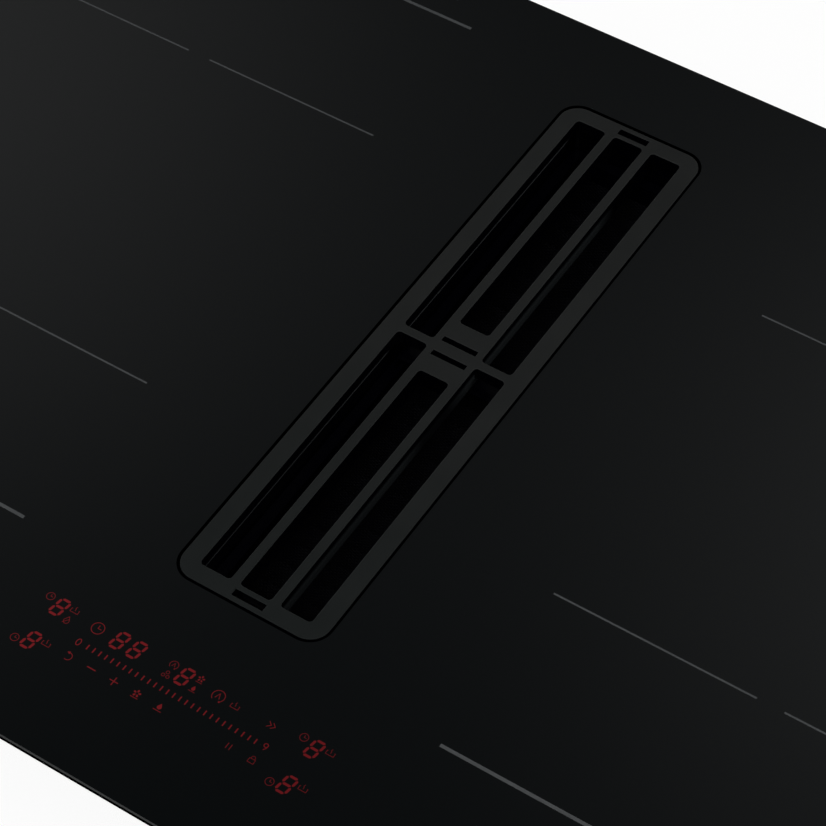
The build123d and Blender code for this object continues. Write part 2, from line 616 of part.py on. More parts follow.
def make_filter_handle():
    """The bow over the cassette by which it is lifted out."""
    reach = OPENING_WIDTH / 2 - FILTER_RIM_INSET - FILTER_RIM
    base = FILTER_LEDGE + FILTER_RIM
    outer = block((-reach, reach), (-HANDLE_WIDTH / 2, HANDLE_WIDTH / 2), (base, base + HANDLE_HEIGHT))
    outer = fillet(outer.edges().filter_by(Axis.Y).group_by(Axis.Z)[-1], HANDLE_HEIGHT / 2)
    inner_reach = reach - HANDLE_STRIP
    inner_top = base + HANDLE_HEIGHT - HANDLE_STRIP
    inner = block((-inner_reach, inner_reach), (-HANDLE_WIDTH / 2, HANDLE_WIDTH / 2), (base, inner_top))
    inner = fillet(inner.edges().filter_by(Axis.Y).group_by(Axis.Z)[-1], HANDLE_HEIGHT / 2 - HANDLE_STRIP)
    return Pos(0, GRILLE_CENTRE_Y, 0) * (outer - inner)


def make_drip_tray():
    """The long tray that catches grease and spills, with a tab at each end to lift it by."""
    tray = opening_plate(TRAY_INSET, TRAY_HEIGHT, TRAY_BOTTOM)
    tray -= opening_plate(TRAY_INSET + TRAY_SHEET, TRAY_HEIGHT, TRAY_BOTTOM + TRAY_SHEET)
    rim = TRAY_BOTTOM + TRAY_HEIGHT
    for side in (-1, 1):
        end = GRILLE_CENTRE_Y + side * (OPENING_LENGTH / 2 - TRAY_INSET - TRAY_SHEET / 2)
        tray += plate(TRAY_TAB_WIDTH, TRAY_SHEET, TRAY_TAB_HEIGHT + TRAY_SHEET, rim - TRAY_SHEET, (0, end))
    return tray


# ---------------------------------------------------------------- case
def slot_row(length, width, count, pitch, centre, along_x):
    """A row of round-ended vent slots, as one sketch."""
    row = Sketch()
    for shift in evenly(count, pitch):
        turn = 0 if along_x else 90
        place = (centre[0], centre[1] + shift) if along_x else (centre[0] + shift, centre[1])
        row += Pos(*place) * Rot(0, 0, turn) * SlotOverall(length, width)
    return row


def floor_beads(margin):
    """The outlines of the stiffening beads under the boards, drawn in by the margin."""
    beads = Sketch()
    bead = Rot(0, 0, 90) * SlotOverall(BEAD_LENGTH - 2 * margin, BEAD_WIDTH - 2 * margin)
    for side in SIDES.values():
        for shift in evenly(2, BEAD_PITCH):
            beads += Pos(side * ZONE_CENTRE_X + shift, BOARD_CENTRE_Y) * bead
    return beads


def make_lower_case():
    """The shallow sheet-steel case: an open tray with a sloping front wall, vents and a well hole."""
    front, back = -CASE_DEPTH / 2, CASE_DEPTH / 2
    slope_end = front + CASE_SLOPE_RUN
    outline = (
        (front, CASE_TOP),
        (front, CASE_TOP - CASE_SLOPE_START),
        (slope_end, CASE_BOTTOM),
        (back, CASE_BOTTOM),
        (back, CASE_TOP),
    )
    section = make_face(Polyline(*[Vector(0, y, z) for y, z in outline], close=True))
    case = extrude(section, CASE_WIDTH / 2, dir=(1, 0, 0), both=True)
    lid = case.faces().sort_by(Axis.Z)[-1]
    case = offset(case, -CASE_SHEET, openings=lid)
    case -= opening_plate(FILTER_LEDGE_INSET - WELL_WALL - SEAT_CLEARANCE, CASE_SHEET, CASE_BOTTOM)
    vents = Sketch()
    for side in SIDES.values():
        intake = (side * ZONE_CENTRE_X, FAN_CENTRE_Y)
        vents += slot_row(VENT_LENGTH, VENT_WIDTH, VENT_COUNT, VENT_PITCH, intake, True)
        exhaust = (side * (CASE_WIDTH / 2 - EXHAUST_LENGTH), BOARD_CENTRE_Y)
        vents += slot_row(EXHAUST_LENGTH, VENT_WIDTH, EXHAUST_COUNT, VENT_PITCH, exhaust, True)
    case -= prism(vents, CASE_SHEET, CASE_BOTTOM)
    case += prism(floor_beads(0), BEAD_RISE, CASE_FLOOR)
    case -= prism(floor_beads(CASE_SHEET), BEAD_RISE, CASE_BOTTOM)
    hatch = (TERMINAL_WIDTH - 2 * VENT_WIDTH, TERMINAL_DEPTH - 2 * VENT_WIDTH)
    case -= plate(*hatch, CASE_SHEET, CASE_BOTTOM, (TERMINAL_X, TERMINAL_Y))
    for x, y in flange_screw_places():
        case -= disc(SCREW_HOLE_RADIUS, CASE_SHEET, CASE_BOTTOM, (x, y))
    for x, y in clamp_places():
        case -= disc(PIVOT_RADIUS, CASE_SHEET, CASE_BOTTOM, (x, y))
    return case - side_pegs(SCREW_HOLE_RADIUS, 6 * FRAME_SHEET, 4 * FRAME_SHEET)


# ---------------------------------------------------------------- coils
def coil_centre(side, row):
    """The centre of one coil: side -1 is left, row -1 is the front."""
    return side * ZONE_CENTRE_X, ZONE_CENTRE_Y + row * COIL_PITCH / 2


def make_mica_sheets():
    """The insulating sheets between the coils and the glass."""
    sheets = []
    for side in SIDES.values():
        centre = (side * ZONE_CENTRE_X, ZONE_CENTRE_Y)
        sheet = plate(ZONE_WIDTH, ZONE_LENGTH, MICA_THICKNESS, COIL_TOP, centre, CARRIER_CORNER)
        for row in (-1, 1):
            sheet -= disc(MICA_HOLE_RADIUS, MICA_THICKNESS, COIL_TOP, coil_centre(side, row))
        sheets.append(sheet)
    return group(sheets)


def make_coil(side, row):
    """One flat coil: an outer and an inner winding of stranded wire, pressed flat."""
    centre = coil_centre(side, row)

    def outline(inset):
        width = COIL_WIDTH - 2 * inset
        length = COIL_LENGTH - 2 * inset
        return plate(width, length, COIL_THICKNESS, COIL_BOTTOM, centre, COIL_CORNER - inset)

    outer = outline(0) - outline(COIL_SPLIT_WIDTH)
    inner = outline(COIL_SPLIT_WIDTH + COIL_SPLIT_GAP)
    hole = (COIL_HOLE_WIDTH, COIL_HOLE_LENGTH, COIL_THICKNESS, COIL_BOTTOM, centre, COIL_HOLE_CORNER)
    return group([outer, inner - plate(*hole)])


def make_ferrite_bars():
    """The ferrite bars that lie like spokes under each coil."""
    bars = []
    for side in SIDES.values():
        for row in (-1, 1):
            x, y = coil_centre(side, row)
            middle = x + (FERRITE_START + FERRITE_END) / 2
            size = (FERRITE_END - FERRITE_START, FERRITE_WIDTH, FERRITE_THICKNESS, FERRITE_BOTTOM)
            bar = plate(*size, centre=(middle, y))
            for number in range(FERRITE_COUNT):
                bars.append(turned(bar, (x, y), (number + 0.5) * 360 / FERRITE_COUNT))
    return group(bars)


def make_carrier_plate(side):
    """The aluminium plate that carries one pair of coils."""
    centre = (side * ZONE_CENTRE_X, ZONE_CENTRE_Y)
    carrier = plate(ZONE_WIDTH, ZONE_LENGTH, CARRIER_THICKNESS, CARRIER_BOTTOM, centre, CARRIER_CORNER)
    for row in (-1, 1):
        carrier -= disc(CARRIER_HOLE_RADIUS, CARRIER_THICKNESS, CARRIER_BOTTOM, coil_centre(side, row))
    return carrier


def make_coil_sensors():
    """The temperature sensors in the middle of the coils, which touch the glass."""
    sensors = []
    for side in SIDES.values():
        for row in (-1, 1):
            centre = coil_centre(side, row)
            base = disc(SENSOR_BASE_RADIUS, SENSOR_BASE_HEIGHT, FERRITE_BOTTOM, centre)
            stem = disc(SENSOR_RADIUS, GLASS_BOTTOM - FERRITE_BOTTOM, FERRITE_BOTTOM, centre)
            sensors.append(base + stem)
    return group(sensors)


# ---------------------------------------------------------------- power electronics
def make_power_board(side):
    """One inverter board."""
    centre = (side * ZONE_CENTRE_X, BOARD_CENTRE_Y)
    return plate(BOARD_WIDTH, BOARD_LENGTH, BOARD_THICKNESS, BOARD_BOTTOM, centre)


def corner_posts(radius, height, width, length, centre_y):
    """A post under each corner of a width by length pattern, on both sides of the case."""
    posts = []
    for side in SIDES.values():
        for x in (-width / 2, width / 2):
            for y in (-length / 2, length / 2):
                posts.append(disc(radius, height, CASE_FLOOR, (side * ZONE_CENTRE_X + x, centre_y + y)))
    return posts


def make_posts():
    """The posts that stand on the case: tall ones under the coil carriers, short ones under the boards."""
    carrier = (ZONE_WIDTH - 2 * POST_INSET, ZONE_LENGTH - 2 * POST_INSET, ZONE_CENTRE_Y)
    board = (BOARD_WIDTH - 2 * BOARD_POST_INSET, BOARD_LENGTH - 2 * BOARD_POST_INSET, BOARD_CENTRE_Y)
    tall = corner_posts(POST_RADIUS, CARRIER_BOTTOM - CASE_FLOOR, *carrier)
    return group(tall + corner_posts(BOARD_POST_RADIUS, BOARD_LIFT, *board))


def make_heat_sink(side):
    """The finned heat sink of one inverter board."""
    x = side * (ZONE_CENTRE_X + SINK_OFFSET)
    centre = (x, BOARD_CENTRE_Y)
    sink = plate(SINK_WIDTH, SINK_LENGTH, SINK_BASE, BOARD_TOP, centre)
    pitch = (SINK_WIDTH - SINK_FIN) / (SINK_FINS - 1)
    for shift in evenly(SINK_FINS, pitch):
        sink += plate(SINK_FIN, SINK_LENGTH, SINK_HEIGHT, BOARD_TOP, (x + shift, BOARD_CENTRE_Y))
    return sink


def board_row(solid_at, pitch, offset_x):
    """The same component along each board, a row a side."""
    parts = []
    for side in SIDES.values():
        for along in evenly(PARTS_PER_ROW, pitch):
            parts.append(solid_at((side * (ZONE_CENTRE_X + offset_x), BOARD_CENTRE_Y + along)))
    return group(parts)


def make_board_capacitors():
    """The filter capacitors."""
    def capacitor(place):
        return disc(CAPACITOR_RADIUS, CAPACITOR_HEIGHT, BOARD_TOP, place)
    return board_row(capacitor, CAPACITOR_PITCH, CAPACITOR_OFFSET)


def make_board_chokes():
    """The ring chokes."""
    def choke(place):
        return tube(CHOKE_RADIUS, CHOKE_HOLE_RADIUS, CHOKE_HEIGHT, BOARD_TOP, place)
    return board_row(choke, CHOKE_PITCH, CHOKE_OFFSET)


def make_fan_frame(side):
    """The square frame of a cooling fan, with its bore, struts, hub seat and pin."""
    centre = (side * ZONE_CENTRE_X, FAN_CENTRE_Y)
    frame = plate(FAN_SIZE, FAN_SIZE, FAN_HEIGHT, CASE_FLOOR, centre, FAN_CORNER)
    frame -= disc(FAN_BORE_RADIUS, FAN_HEIGHT, CASE_FLOOR, centre)
    struts = disc(FAN_HUB_RADIUS, FAN_STRUT_HEIGHT, CASE_FLOOR, centre)
    reach = FAN_BORE_RADIUS + FAN_STRUT_WIDTH / 2
    strut = plate(reach, FAN_STRUT_WIDTH, FAN_STRUT_HEIGHT, CASE_FLOOR, (centre[0] + reach / 2, centre[1]))
    for number in range(4):
        struts += turned(strut, centre, 45 + 90 * number)
    pin_height = FAN_STRUT_HEIGHT + FAN_HUB_HEIGHT / 2
    return frame + struts + disc(FAN_PIN_RADIUS, pin_height, CASE_FLOOR, centre)


def make_fan_rotor(side):
    """The rotor of a cooling fan: a hub with pitched blades, on the frame's pin."""
    centre = (side * ZONE_CENTRE_X, FAN_CENTRE_Y)
    bottom = CASE_FLOOR + FAN_STRUT_HEIGHT + SEAT_CLEARANCE
    hub = disc(FAN_HUB_RADIUS, FAN_HUB_HEIGHT, bottom, centre)
    tip = FAN_BORE_RADIUS - FAN_TIP_GAP
    root = FAN_HUB_RADIUS / 2
    middle = bottom + FAN_HUB_HEIGHT / 2
    blade = Box(tip - root + FAN_TIP_GAP, FAN_BLADE_CHORD, FAN_BLADE_THICKNESS)
    blade = Rot(side * FAN_BLADE_PITCH, 0, 0) * blade
    blade = Pos(centre[0] + (root + tip + FAN_TIP_GAP) / 2, centre[1], middle) * blade
    blades = [turned(blade, centre, number * 360 / FAN_BLADES) for number in range(FAN_BLADES)]
    swept = disc(tip, FAN_HUB_HEIGHT, bottom, centre)
    rotor = hub
    for one in blades:
        rotor += one & swept
    hole = FAN_HUB_HEIGHT / 2
    return rotor - disc(FAN_PIN_RADIUS + RUNNING_CLEARANCE, hole, bottom, centre)


# ---------------------------------------------------------------- touch panel and mains inlet
def digit_windows(margin):
    """The windows of the lit digits, each drawn in by the margin: width, length and centre."""
    places = [(side * DIGIT_SPREAD_X, y) for side in (-1, 1) for y in (DIGIT_BACK_Y, DIGIT_FRONT_Y)]
    places.append((0, DIGIT_BACK_Y))
    length = DIGIT_WINDOW_LENGTH - 2 * margin
    windows = [(DIGIT_WINDOW_WIDTH - 2 * margin, length, place) for place in places]
    windows.append((TIMER_WINDOW_WIDTH - 2 * margin, length, (TIMER_X, DIGIT_BACK_Y)))
    return windows


def make_control_tray():
    """The plastic tray that clips the touch electronics under the glass."""
    centre = (0, PANEL_CENTRE_Y)
    outer_width = PANEL_WIDTH + 2 * PANEL_TRAY_WALL + 2 * SEAT_CLEARANCE
    outer_length = PANEL_LENGTH + 2 * PANEL_TRAY_WALL + 2 * SEAT_CLEARANCE
    tray = plate(outer_width, outer_length, PANEL_TRAY_HEIGHT, PANEL_TRAY_BOTTOM, centre)
    pocket = (outer_width - 2 * PANEL_TRAY_WALL, outer_length - 2 * PANEL_TRAY_WALL)
    return tray - plate(*pocket, PANEL_TRAY_HEIGHT, CONTROL_BOARD_BOTTOM, centre)


def make_control_board():
    """The touch and display board."""
    return plate(PANEL_WIDTH, PANEL_LENGTH, BOARD_THICKNESS, CONTROL_BOARD_BOTTOM, (0, PANEL_CENTRE_Y))


def make_light_guide():
    """The white block over the board that keeps each symbol's light apart."""
    guide = plate(PANEL_WIDTH, PANEL_LENGTH, LIGHT_GUIDE_THICKNESS, LIGHT_GUIDE_BOTTOM, (0, PANEL_CENTRE_Y))
    for width, length, place in digit_windows(0):
        guide -= plate(width, length, LIGHT_GUIDE_THICKNESS, LIGHT_GUIDE_BOTTOM, place)
    return guide


def make_digit_modules():
    """The seven-segment modules in the light guide's windows."""
    modules = []
    height = LIGHT_GUIDE_THICKNESS - DIGIT_MODULE_GAP
    for width, length, place in digit_windows(DIGIT_MODULE_GAP):
        modules.append(plate(width, length, height, LIGHT_GUIDE_BOTTOM, place))
    return group(modules)


def make_terminal_block():
    """The mains terminal block, with a well for each wire."""
    centre = (TERMINAL_X, TERMINAL_Y)
    terminal = plate(TERMINAL_WIDTH, TERMINAL_DEPTH, TERMINAL_HEIGHT, CASE_FLOOR, centre)
    pitch = TERMINAL_WIDTH / (TERMINAL_POLES + 1)
    for shift in evenly(TERMINAL_POLES, pitch):
        place = (TERMINAL_X + shift, TERMINAL_Y)
        terminal -= disc(TERMINAL_WELL_RADIUS, TERMINAL_WELL_DEPTH, CASE_FLOOR, place)
    return terminal


def cable_plane():
    """Where the mains lead would enter: the outer face of the cover's back wall."""
    back = TERMINAL_Y + TERMINAL_DEPTH / 2 + COVER_MARGIN
    return Plane(origin=(TERMINAL_X, back, CASE_BOTTOM - COVER_HEIGHT / 2), z_dir=(0, 1, 0))


def make_terminal_cover():
    """The sheet cover under the terminal block, with the hole for the cable grommet."""
    centre = (TERMINAL_X, TERMINAL_Y)
    width = TERMINAL_WIDTH + 2 * COVER_MARGIN
    depth = TERMINAL_DEPTH + 2 * COVER_MARGIN
    bottom = CASE_BOTTOM - COVER_HEIGHT
    cover = plate(width, depth, COVER_HEIGHT, bottom, centre)
    inside = (width - 2 * COVER_SHEET, depth - 2 * COVER_SHEET)
    cover -= plate(*inside, COVER_HEIGHT - COVER_SHEET, bottom + COVER_SHEET, centre)
    hole = Circle(CABLE_HOLE_RADIUS + GROMMET_WALL)
    return cover - extrude(cable_plane().offset(-2 * COVER_SHEET) * hole, 3 * COVER_SHEET)


def make_cable_grommet():
    """The rubber grommet in the cover's back wall."""
    plane = cable_plane()
    length = COVER_SHEET + 2 * GROMMET_LIP
    start = plane.offset(-COVER_SHEET - GROMMET_LIP)
    body = extrude(start * Circle(CABLE_HOLE_RADIUS + GROMMET_WALL), length)
    lip = Circle(CABLE_HOLE_RADIUS + GROMMET_WALL + GROMMET_LIP / 2)
    body += extrude(start * lip, GROMMET_LIP)
    body += extrude(plane * lip, GROMMET_LIP)
    return body - extrude(start * Circle(CABLE_HOLE_RADIUS), length)


# ---------------------------------------------------------------- plenum, deck and scroll
def plenum_outline(margin):
    """The plenum's inside from above, grown by the margin: a trough, a round chamber and a bridge."""
    inset = TROUGH_INSET - margin
    width = OPENING_WIDTH - 2 * inset
    length = OPENING_LENGTH - 2 * inset
    trough = Pos(0, GRILLE_CENTRE_Y) * RectangleRounded(width, length, OPENING_RADIUS)
    chamber = Pos(BLOWER_X, BLOWER_Y) * Circle(CHAMBER_RADIUS + margin)
    bridge = Pos(BLOWER_X / 2, BLOWER_Y) * Rectangle(BLOWER_X, 2 * (CHAMBER_RADIUS + margin))
    return trough + chamber + bridge


def scroll_outline(margin):
    """The blower's air path from above, grown by the margin: three arcs, each wider, and a throat."""
    half = SCROLL_STEP / 2
    first = (BLOWER_X - half, BLOWER_Y - half)
    second = (BLOWER_X + half, BLOWER_Y - half)
    third = (BLOWER_X + half, BLOWER_Y + half)
    start = CenterArc(first, SCROLL_RADIUS, TONGUE_ANGLE, 180 - TONGUE_ANGLE)
    left = CenterArc(second, SCROLL_RADIUS + SCROLL_STEP, 180, 90)
    front = CenterArc(third, SCROLL_RADIUS + 2 * SCROLL_STEP, 270, 90)
    tongue = start @ 0
    wide = front @ 1
    right_wall = Line(wide, (wide.X, THROAT_Y))
    throat = Line((wide.X, THROAT_Y), (tongue.X, THROAT_Y))
    left_wall = Line((tongue.X, THROAT_Y), tongue)
    path = make_face([*start.edges(), *left.edges(), *front.edges(), right_wall, throat, left_wall])
    corner = path.vertices().sort_by_distance(Vector(tongue.X, tongue.Y, 0))[0]
    path = fillet(corner, TONGUE_RADIUS)
    return offset(path, margin, kind=Kind.INTERSECTION) if margin else path


def throat_span():
    """The throat's left and right walls."""
    half = SCROLL_STEP / 2
    left = BLOWER_X - half + polar(SCROLL_RADIUS, TONGUE_ANGLE)[0]
    right = BLOWER_X + half + SCROLL_RADIUS + 2 * SCROLL_STEP
    return left, right


def flange_screw_places():
    """Screws that hang the plenum cover on the case."""
    side = OPENING_WIDTH / 2 - TROUGH_INSET + PLENUM_WALL + PLENUM_FLANGE / 2
    places = [(-side, GRILLE_CENTRE_Y + along) for along in evenly(3, OPENING_LENGTH / 3)]
    reach = CHAMBER_RADIUS + PLENUM_WALL + PLENUM_FLANGE / 2
    for degrees in (-55, 0, 55):
        x, y = polar(reach, degrees)
        places.append((BLOWER_X + x, BLOWER_Y + y))
    return places


def deck_clips():
    """The snap hooks that hold the deck under the trough: two along its left wall and one at each end."""
    foot = DECK_BOTTOM - CLIP_HOOK
    outline = (
        (0, PLENUM_FLOOR + CLIP_HEIGHT),
        (0, DECK_BOTTOM),
        (CLIP_HOOK, DECK_BOTTOM),
        (0, foot),
        (-CLIP_THICKNESS, foot),
        (-CLIP_THICKNESS, PLENUM_FLOOR + CLIP_HEIGHT - CLIP_THICKNESS),
    )
    profile = make_face(Polyline(*[Vector(x, 0, z) for x, z in outline], close=True))
    clip = extrude(profile, CLIP_WIDTH / 2, dir=(0, 1, 0), both=True)
    side = OPENING_WIDTH / 2 - TROUGH_INSET + PLENUM_WALL
    end = OPENING_LENGTH / 2 - TROUGH_INSET + PLENUM_WALL
    clips = [Pos(-side, GRILLE_CENTRE_Y + along, 0) * clip for along in evenly(2, CLIP_SPREAD)]
    for way in (-1, 1):
        clips.append(Pos(0, GRILLE_CENTRE_Y + way * end, 0) * Rot(0, 0, -90 * way) * clip)
    return clips


def make_plenum_cover():
    """The moulded cover that turns the air from the well towards the blower, with its snap hooks."""
    top = CASE_BOTTOM - PLENUM_WALL
    cover = prism(plenum_outline(PLENUM_WALL), PLENUM_HEIGHT, PLENUM_FLOOR)
    cover += prism(plenum_outline(PLENUM_WALL + PLENUM_FLANGE), PLENUM_WALL, top)
    cover -= prism(plenum_outline(0), PLENUM_HEIGHT - PLENUM_WALL, PLENUM_FLOOR)
    cover -= opening_plate(FILTER_LEDGE_INSET - WELL_WALL - SEAT_CLEARANCE, PLENUM_WALL, top)
    for place in flange_screw_places():
        cover -= disc(SCREW_HOLE_RADIUS, PLENUM_WALL, top, place)
    return cover + deck_clips()


def deck_screw_places():
    """Screws that hang the scroll housing on the deck, outside its wall."""
    half = SCROLL_STEP / 2
    reach = SCROLL_RADIUS + SCROLL_WALL + SCREW_HEAD_RADIUS
    quarters = (
        ((BLOWER_X - half, BLOWER_Y - half), reach, 96),
        ((BLOWER_X - half, BLOWER_Y - half), reach, 150),
        ((BLOWER_X + half, BLOWER_Y - half), reach + SCROLL_STEP, 235),
        ((BLOWER_X + half, BLOWER_Y - half), reach + SCROLL_STEP, 268),
        ((BLOWER_X + half, BLOWER_Y + half), reach + 2 * SCROLL_STEP, 305),
        ((BLOWER_X + half, BLOWER_Y + half), reach + 2 * SCROLL_STEP, 350),
    )
    places = []
    for centre, radius, degrees in quarters:
        x, y = polar(radius, degrees)
        places.append((centre[0] + x, centre[1] + y))
    return places


def deck_lugs(thickness, bottom):
    """Round lugs at the deck screws."""
    return [disc(2 * SCREW_HEAD_RADIUS, thickness, bottom, place) for place in deck_screw_places()]


def make_blower_deck():
    """The deck between plenum and blower, with tray ribs, a drain, the cup's socket and the inlet."""
    deck = prism(plenum_outline(PLENUM_WALL) + scroll_outline(SCROLL_WALL), DECK_THICKNESS, DECK_BOTTOM)
    left, right = throat_span()
    deck -= block(
        (left - SCROLL_WALL, right + SCROLL_WALL),
        (THROAT_Y, THROAT_Y + SCROLL_WALL),
        (DECK_BOTTOM, PLENUM_FLOOR),
    )
    deck += deck_lugs(DECK_THICKNESS, DECK_BOTTOM)
    centre = (BLOWER_X, BLOWER_Y)
    deck += disc(INLET_RADIUS + PLENUM_WALL, INLET_LIP, DECK_BOTTOM - INLET_LIP, centre)
    deck -= disc(INLET_RADIUS, INLET_LIP + DECK_THICKNESS, DECK_BOTTOM - INLET_LIP, centre)
    rings = [edge for edge in deck.edges() if edge.geom_type == GeomType.CIRCLE]
    rings = [edge for edge in rings if abs(edge.radius - INLET_RADIUS) < PRESS_GAP]
    deck = fillet(ShapeList(rings).sort_by(Axis.Z)[-1], INLET_ROUND)
    for along in (-TRAY_RIB_SPREAD, TRAY_RIB_SPREAD):
        width = OPENING_WIDTH - 2 * TRAY_INSET
        place = (0, GRILLE_CENTRE_Y + along)
        deck += plate(width, TRAY_RIB_WIDTH, TRAY_RIB_HEIGHT, PLENUM_FLOOR, place)
    cup = (CUP_X, CUP_Y)
    socket_inner = CUP_RADIUS + CUP_GAP
    deck += tube(socket_inner + SOCKET_WALL, socket_inner, SOCKET_HEIGHT, DECK_BOTTOM - SOCKET_HEIGHT, cup)
    deck += disc(socket_inner + SOCKET_WALL, DECK_THICKNESS, DECK_BOTTOM, cup)
    deck += disc(DRAIN_RADIUS + DRAIN_WALL, DRAIN_LENGTH, DECK_BOTTOM - DRAIN_LENGTH, cup)
    deck -= disc(DRAIN_RADIUS, DRAIN_LENGTH + DECK_THICKNESS, DECK_BOTTOM - DRAIN_LENGTH, cup)
    for place in deck_screw_places():
        deck -= disc(SCREW_HOLE_RADIUS, DECK_THICKNESS, DECK_BOTTOM, place)
    return deck


def motor_screw_places():
    """Screws from below through the housing into the motor's base."""
    places = []
    for number in range(MOTOR_SCREWS):
        x, y = polar(MOTOR_SCREW_CIRCLE, 90 + number * 360 / MOTOR_SCREWS)
        places.append((BLOWER_X + x, BLOWER_Y + y))
    return places


def base_ribs():
    """What stands out under the housing: the motor's seat, radial ribs and the ring it is set down on."""
    centre = (BLOWER_X, BLOWER_Y)
    ribs = tube(FOOT_RING_RADIUS, FOOT_RING_RADIUS - FOOT_RING_WIDTH, DUCT_FLANGE, BASE_RIB_BOTTOM, centre)
    length = FOOT_RING_RADIUS - FOOT_RING_WIDTH / 2
    place = (BLOWER_X + length / 2, BLOWER_Y)
    rib = plate(length, BASE_RIB_WIDTH, DUCT_FLANGE, BASE_RIB_BOTTOM, place)
    ribs += [turned(rib, centre, number * 360 / BASE_RIBS) for number in range(BASE_RIBS)]
    return ribs + disc(MOTOR_SEAT_RADIUS, DUCT_FLANGE, BASE_RIB_BOTTOM, centre)


def make_scroll_housing():
    """The spiral blower housing under the deck, with its seam, screw lugs, motor seat and base ribs."""
    height = SCROLL_CAVITY + SCROLL_WALL
    housing = prism(scroll_outline(SCROLL_WALL), height, SCROLL_BOTTOM)
    seam_level = (SCROLL_BOTTOM + DECK_BOTTOM - SCROLL_SEAM_WIDTH) / 2
    housing += prism(scroll_outline(SCROLL_WALL + SCROLL_SEAM), SCROLL_SEAM_WIDTH, seam_level)
    housing += deck_lugs(PLENUM_WALL, DECK_BOTTOM - PLENUM_WALL)
    housing -= prism(scroll_outline(0), SCROLL_CAVITY, SCROLL_FLOOR)
    left, right = throat_span()
    mouth = (THROAT_Y - SCROLL_WALL, THROAT_Y + SCROLL_WALL)
    housing -= block((left, right), mouth, (SCROLL_FLOOR, DECK_BOTTOM))
    housing -= block(
        (left - SCROLL_STEP, right + SCROLL_STEP),
        (THROAT_Y, THROAT_Y + SCROLL_STEP),
        (SCROLL_BOTTOM, DECK_BOTTOM),
    )
    for place in deck_screw_places():
        housing -= disc(SCREW_HOLE_RADIUS, PLENUM_WALL, DECK_BOTTOM - PLENUM_WALL, place)
    housing += base_ribs()
    for place in motor_screw_places():
        housing -= disc(SCREW_HOLE_RADIUS, SCROLL_FLOOR - BASE_RIB_BOTTOM, BASE_RIB_BOTTOM, place)
        housing -= disc(SCREW_POCKET_RADIUS, SCREW_POCKET, BASE_RIB_BOTTOM, place)
    return housing


def make_outlet_duct():
    """The duct that flares from the square throat to the flat oval spigot with its stop collar."""
    left, right = throat_span()
    middle = (left + right) / 2
    level = (SCROLL_FLOOR + DECK_BOTTOM) / 2
    spigot_start = OUTLET_END_Y - OUTLET_LENGTH

    def section(y, width, height, radius):
        upright = Plane(origin=(middle, y, level), x_dir=(1, 0, 0), z_dir=(0, 1, 0))
        return upright * RectangleRounded(width, height, radius)

    def tapered(wall):
        throat = section(THROAT_Y, right - left + 2 * wall, SCROLL_CAVITY + 2 * wall, THROAT_CORNER + wall)
        reduce = OUTLET_WALL - wall
        size = (OUTLET_WIDTH - 2 * reduce, OUTLET_HEIGHT - 2 * reduce, OUTLET_CORNER - reduce)
        flare = loft([throat, section(spigot_start, *size)])
        return flare + extrude(section(spigot_start, *size), OUTLET_LENGTH)

    edge = OUTLET_WALL + DUCT_FLANGE
    flange_size = (right - left + 2 * edge, SCROLL_CAVITY + 2 * edge, THROAT_CORNER + edge)
    flange = extrude(section(THROAT_Y, *flange_size), DUCT_FLANGE_THICKNESS)
    grown = 2 * STOP_COLLAR
    collar = section(spigot_start, OUTLET_WIDTH + grown, OUTLET_HEIGHT + grown, OUTLET_CORNER + STOP_COLLAR)
    collar = extrude(collar, STOP_COLLAR)
    return tapered(OUTLET_WALL) + flange + collar - tapered(0)


def make_screws():
    """The screws: level ones through the frame's skirt, upright ones under plenum, scroll and motor."""
    shanks = side_pegs(SCREW_RADIUS, SCREW_LENGTH, SCREW_LENGTH)
    heads = side_pegs(SCREW_HEAD_RADIUS, SCREW_HEAD, 0)
    screws = [head + shank for head, shank in zip(heads, shanks)]
    rows = (
        (flange_screw_places(), CASE_BOTTOM - PLENUM_WALL),
        (deck_screw_places(), DECK_BOTTOM - PLENUM_WALL),
        (motor_screw_places(), BASE_RIB_BOTTOM + SCREW_POCKET),
    )
    for places, seat in rows:
        for place in places:
            head = disc(SCREW_HEAD_RADIUS, SCREW_HEAD, seat - SCREW_HEAD, place)
            screws.append(head + disc(SCREW_RADIUS, SCREW_LENGTH, seat, place))
    return group(screws)


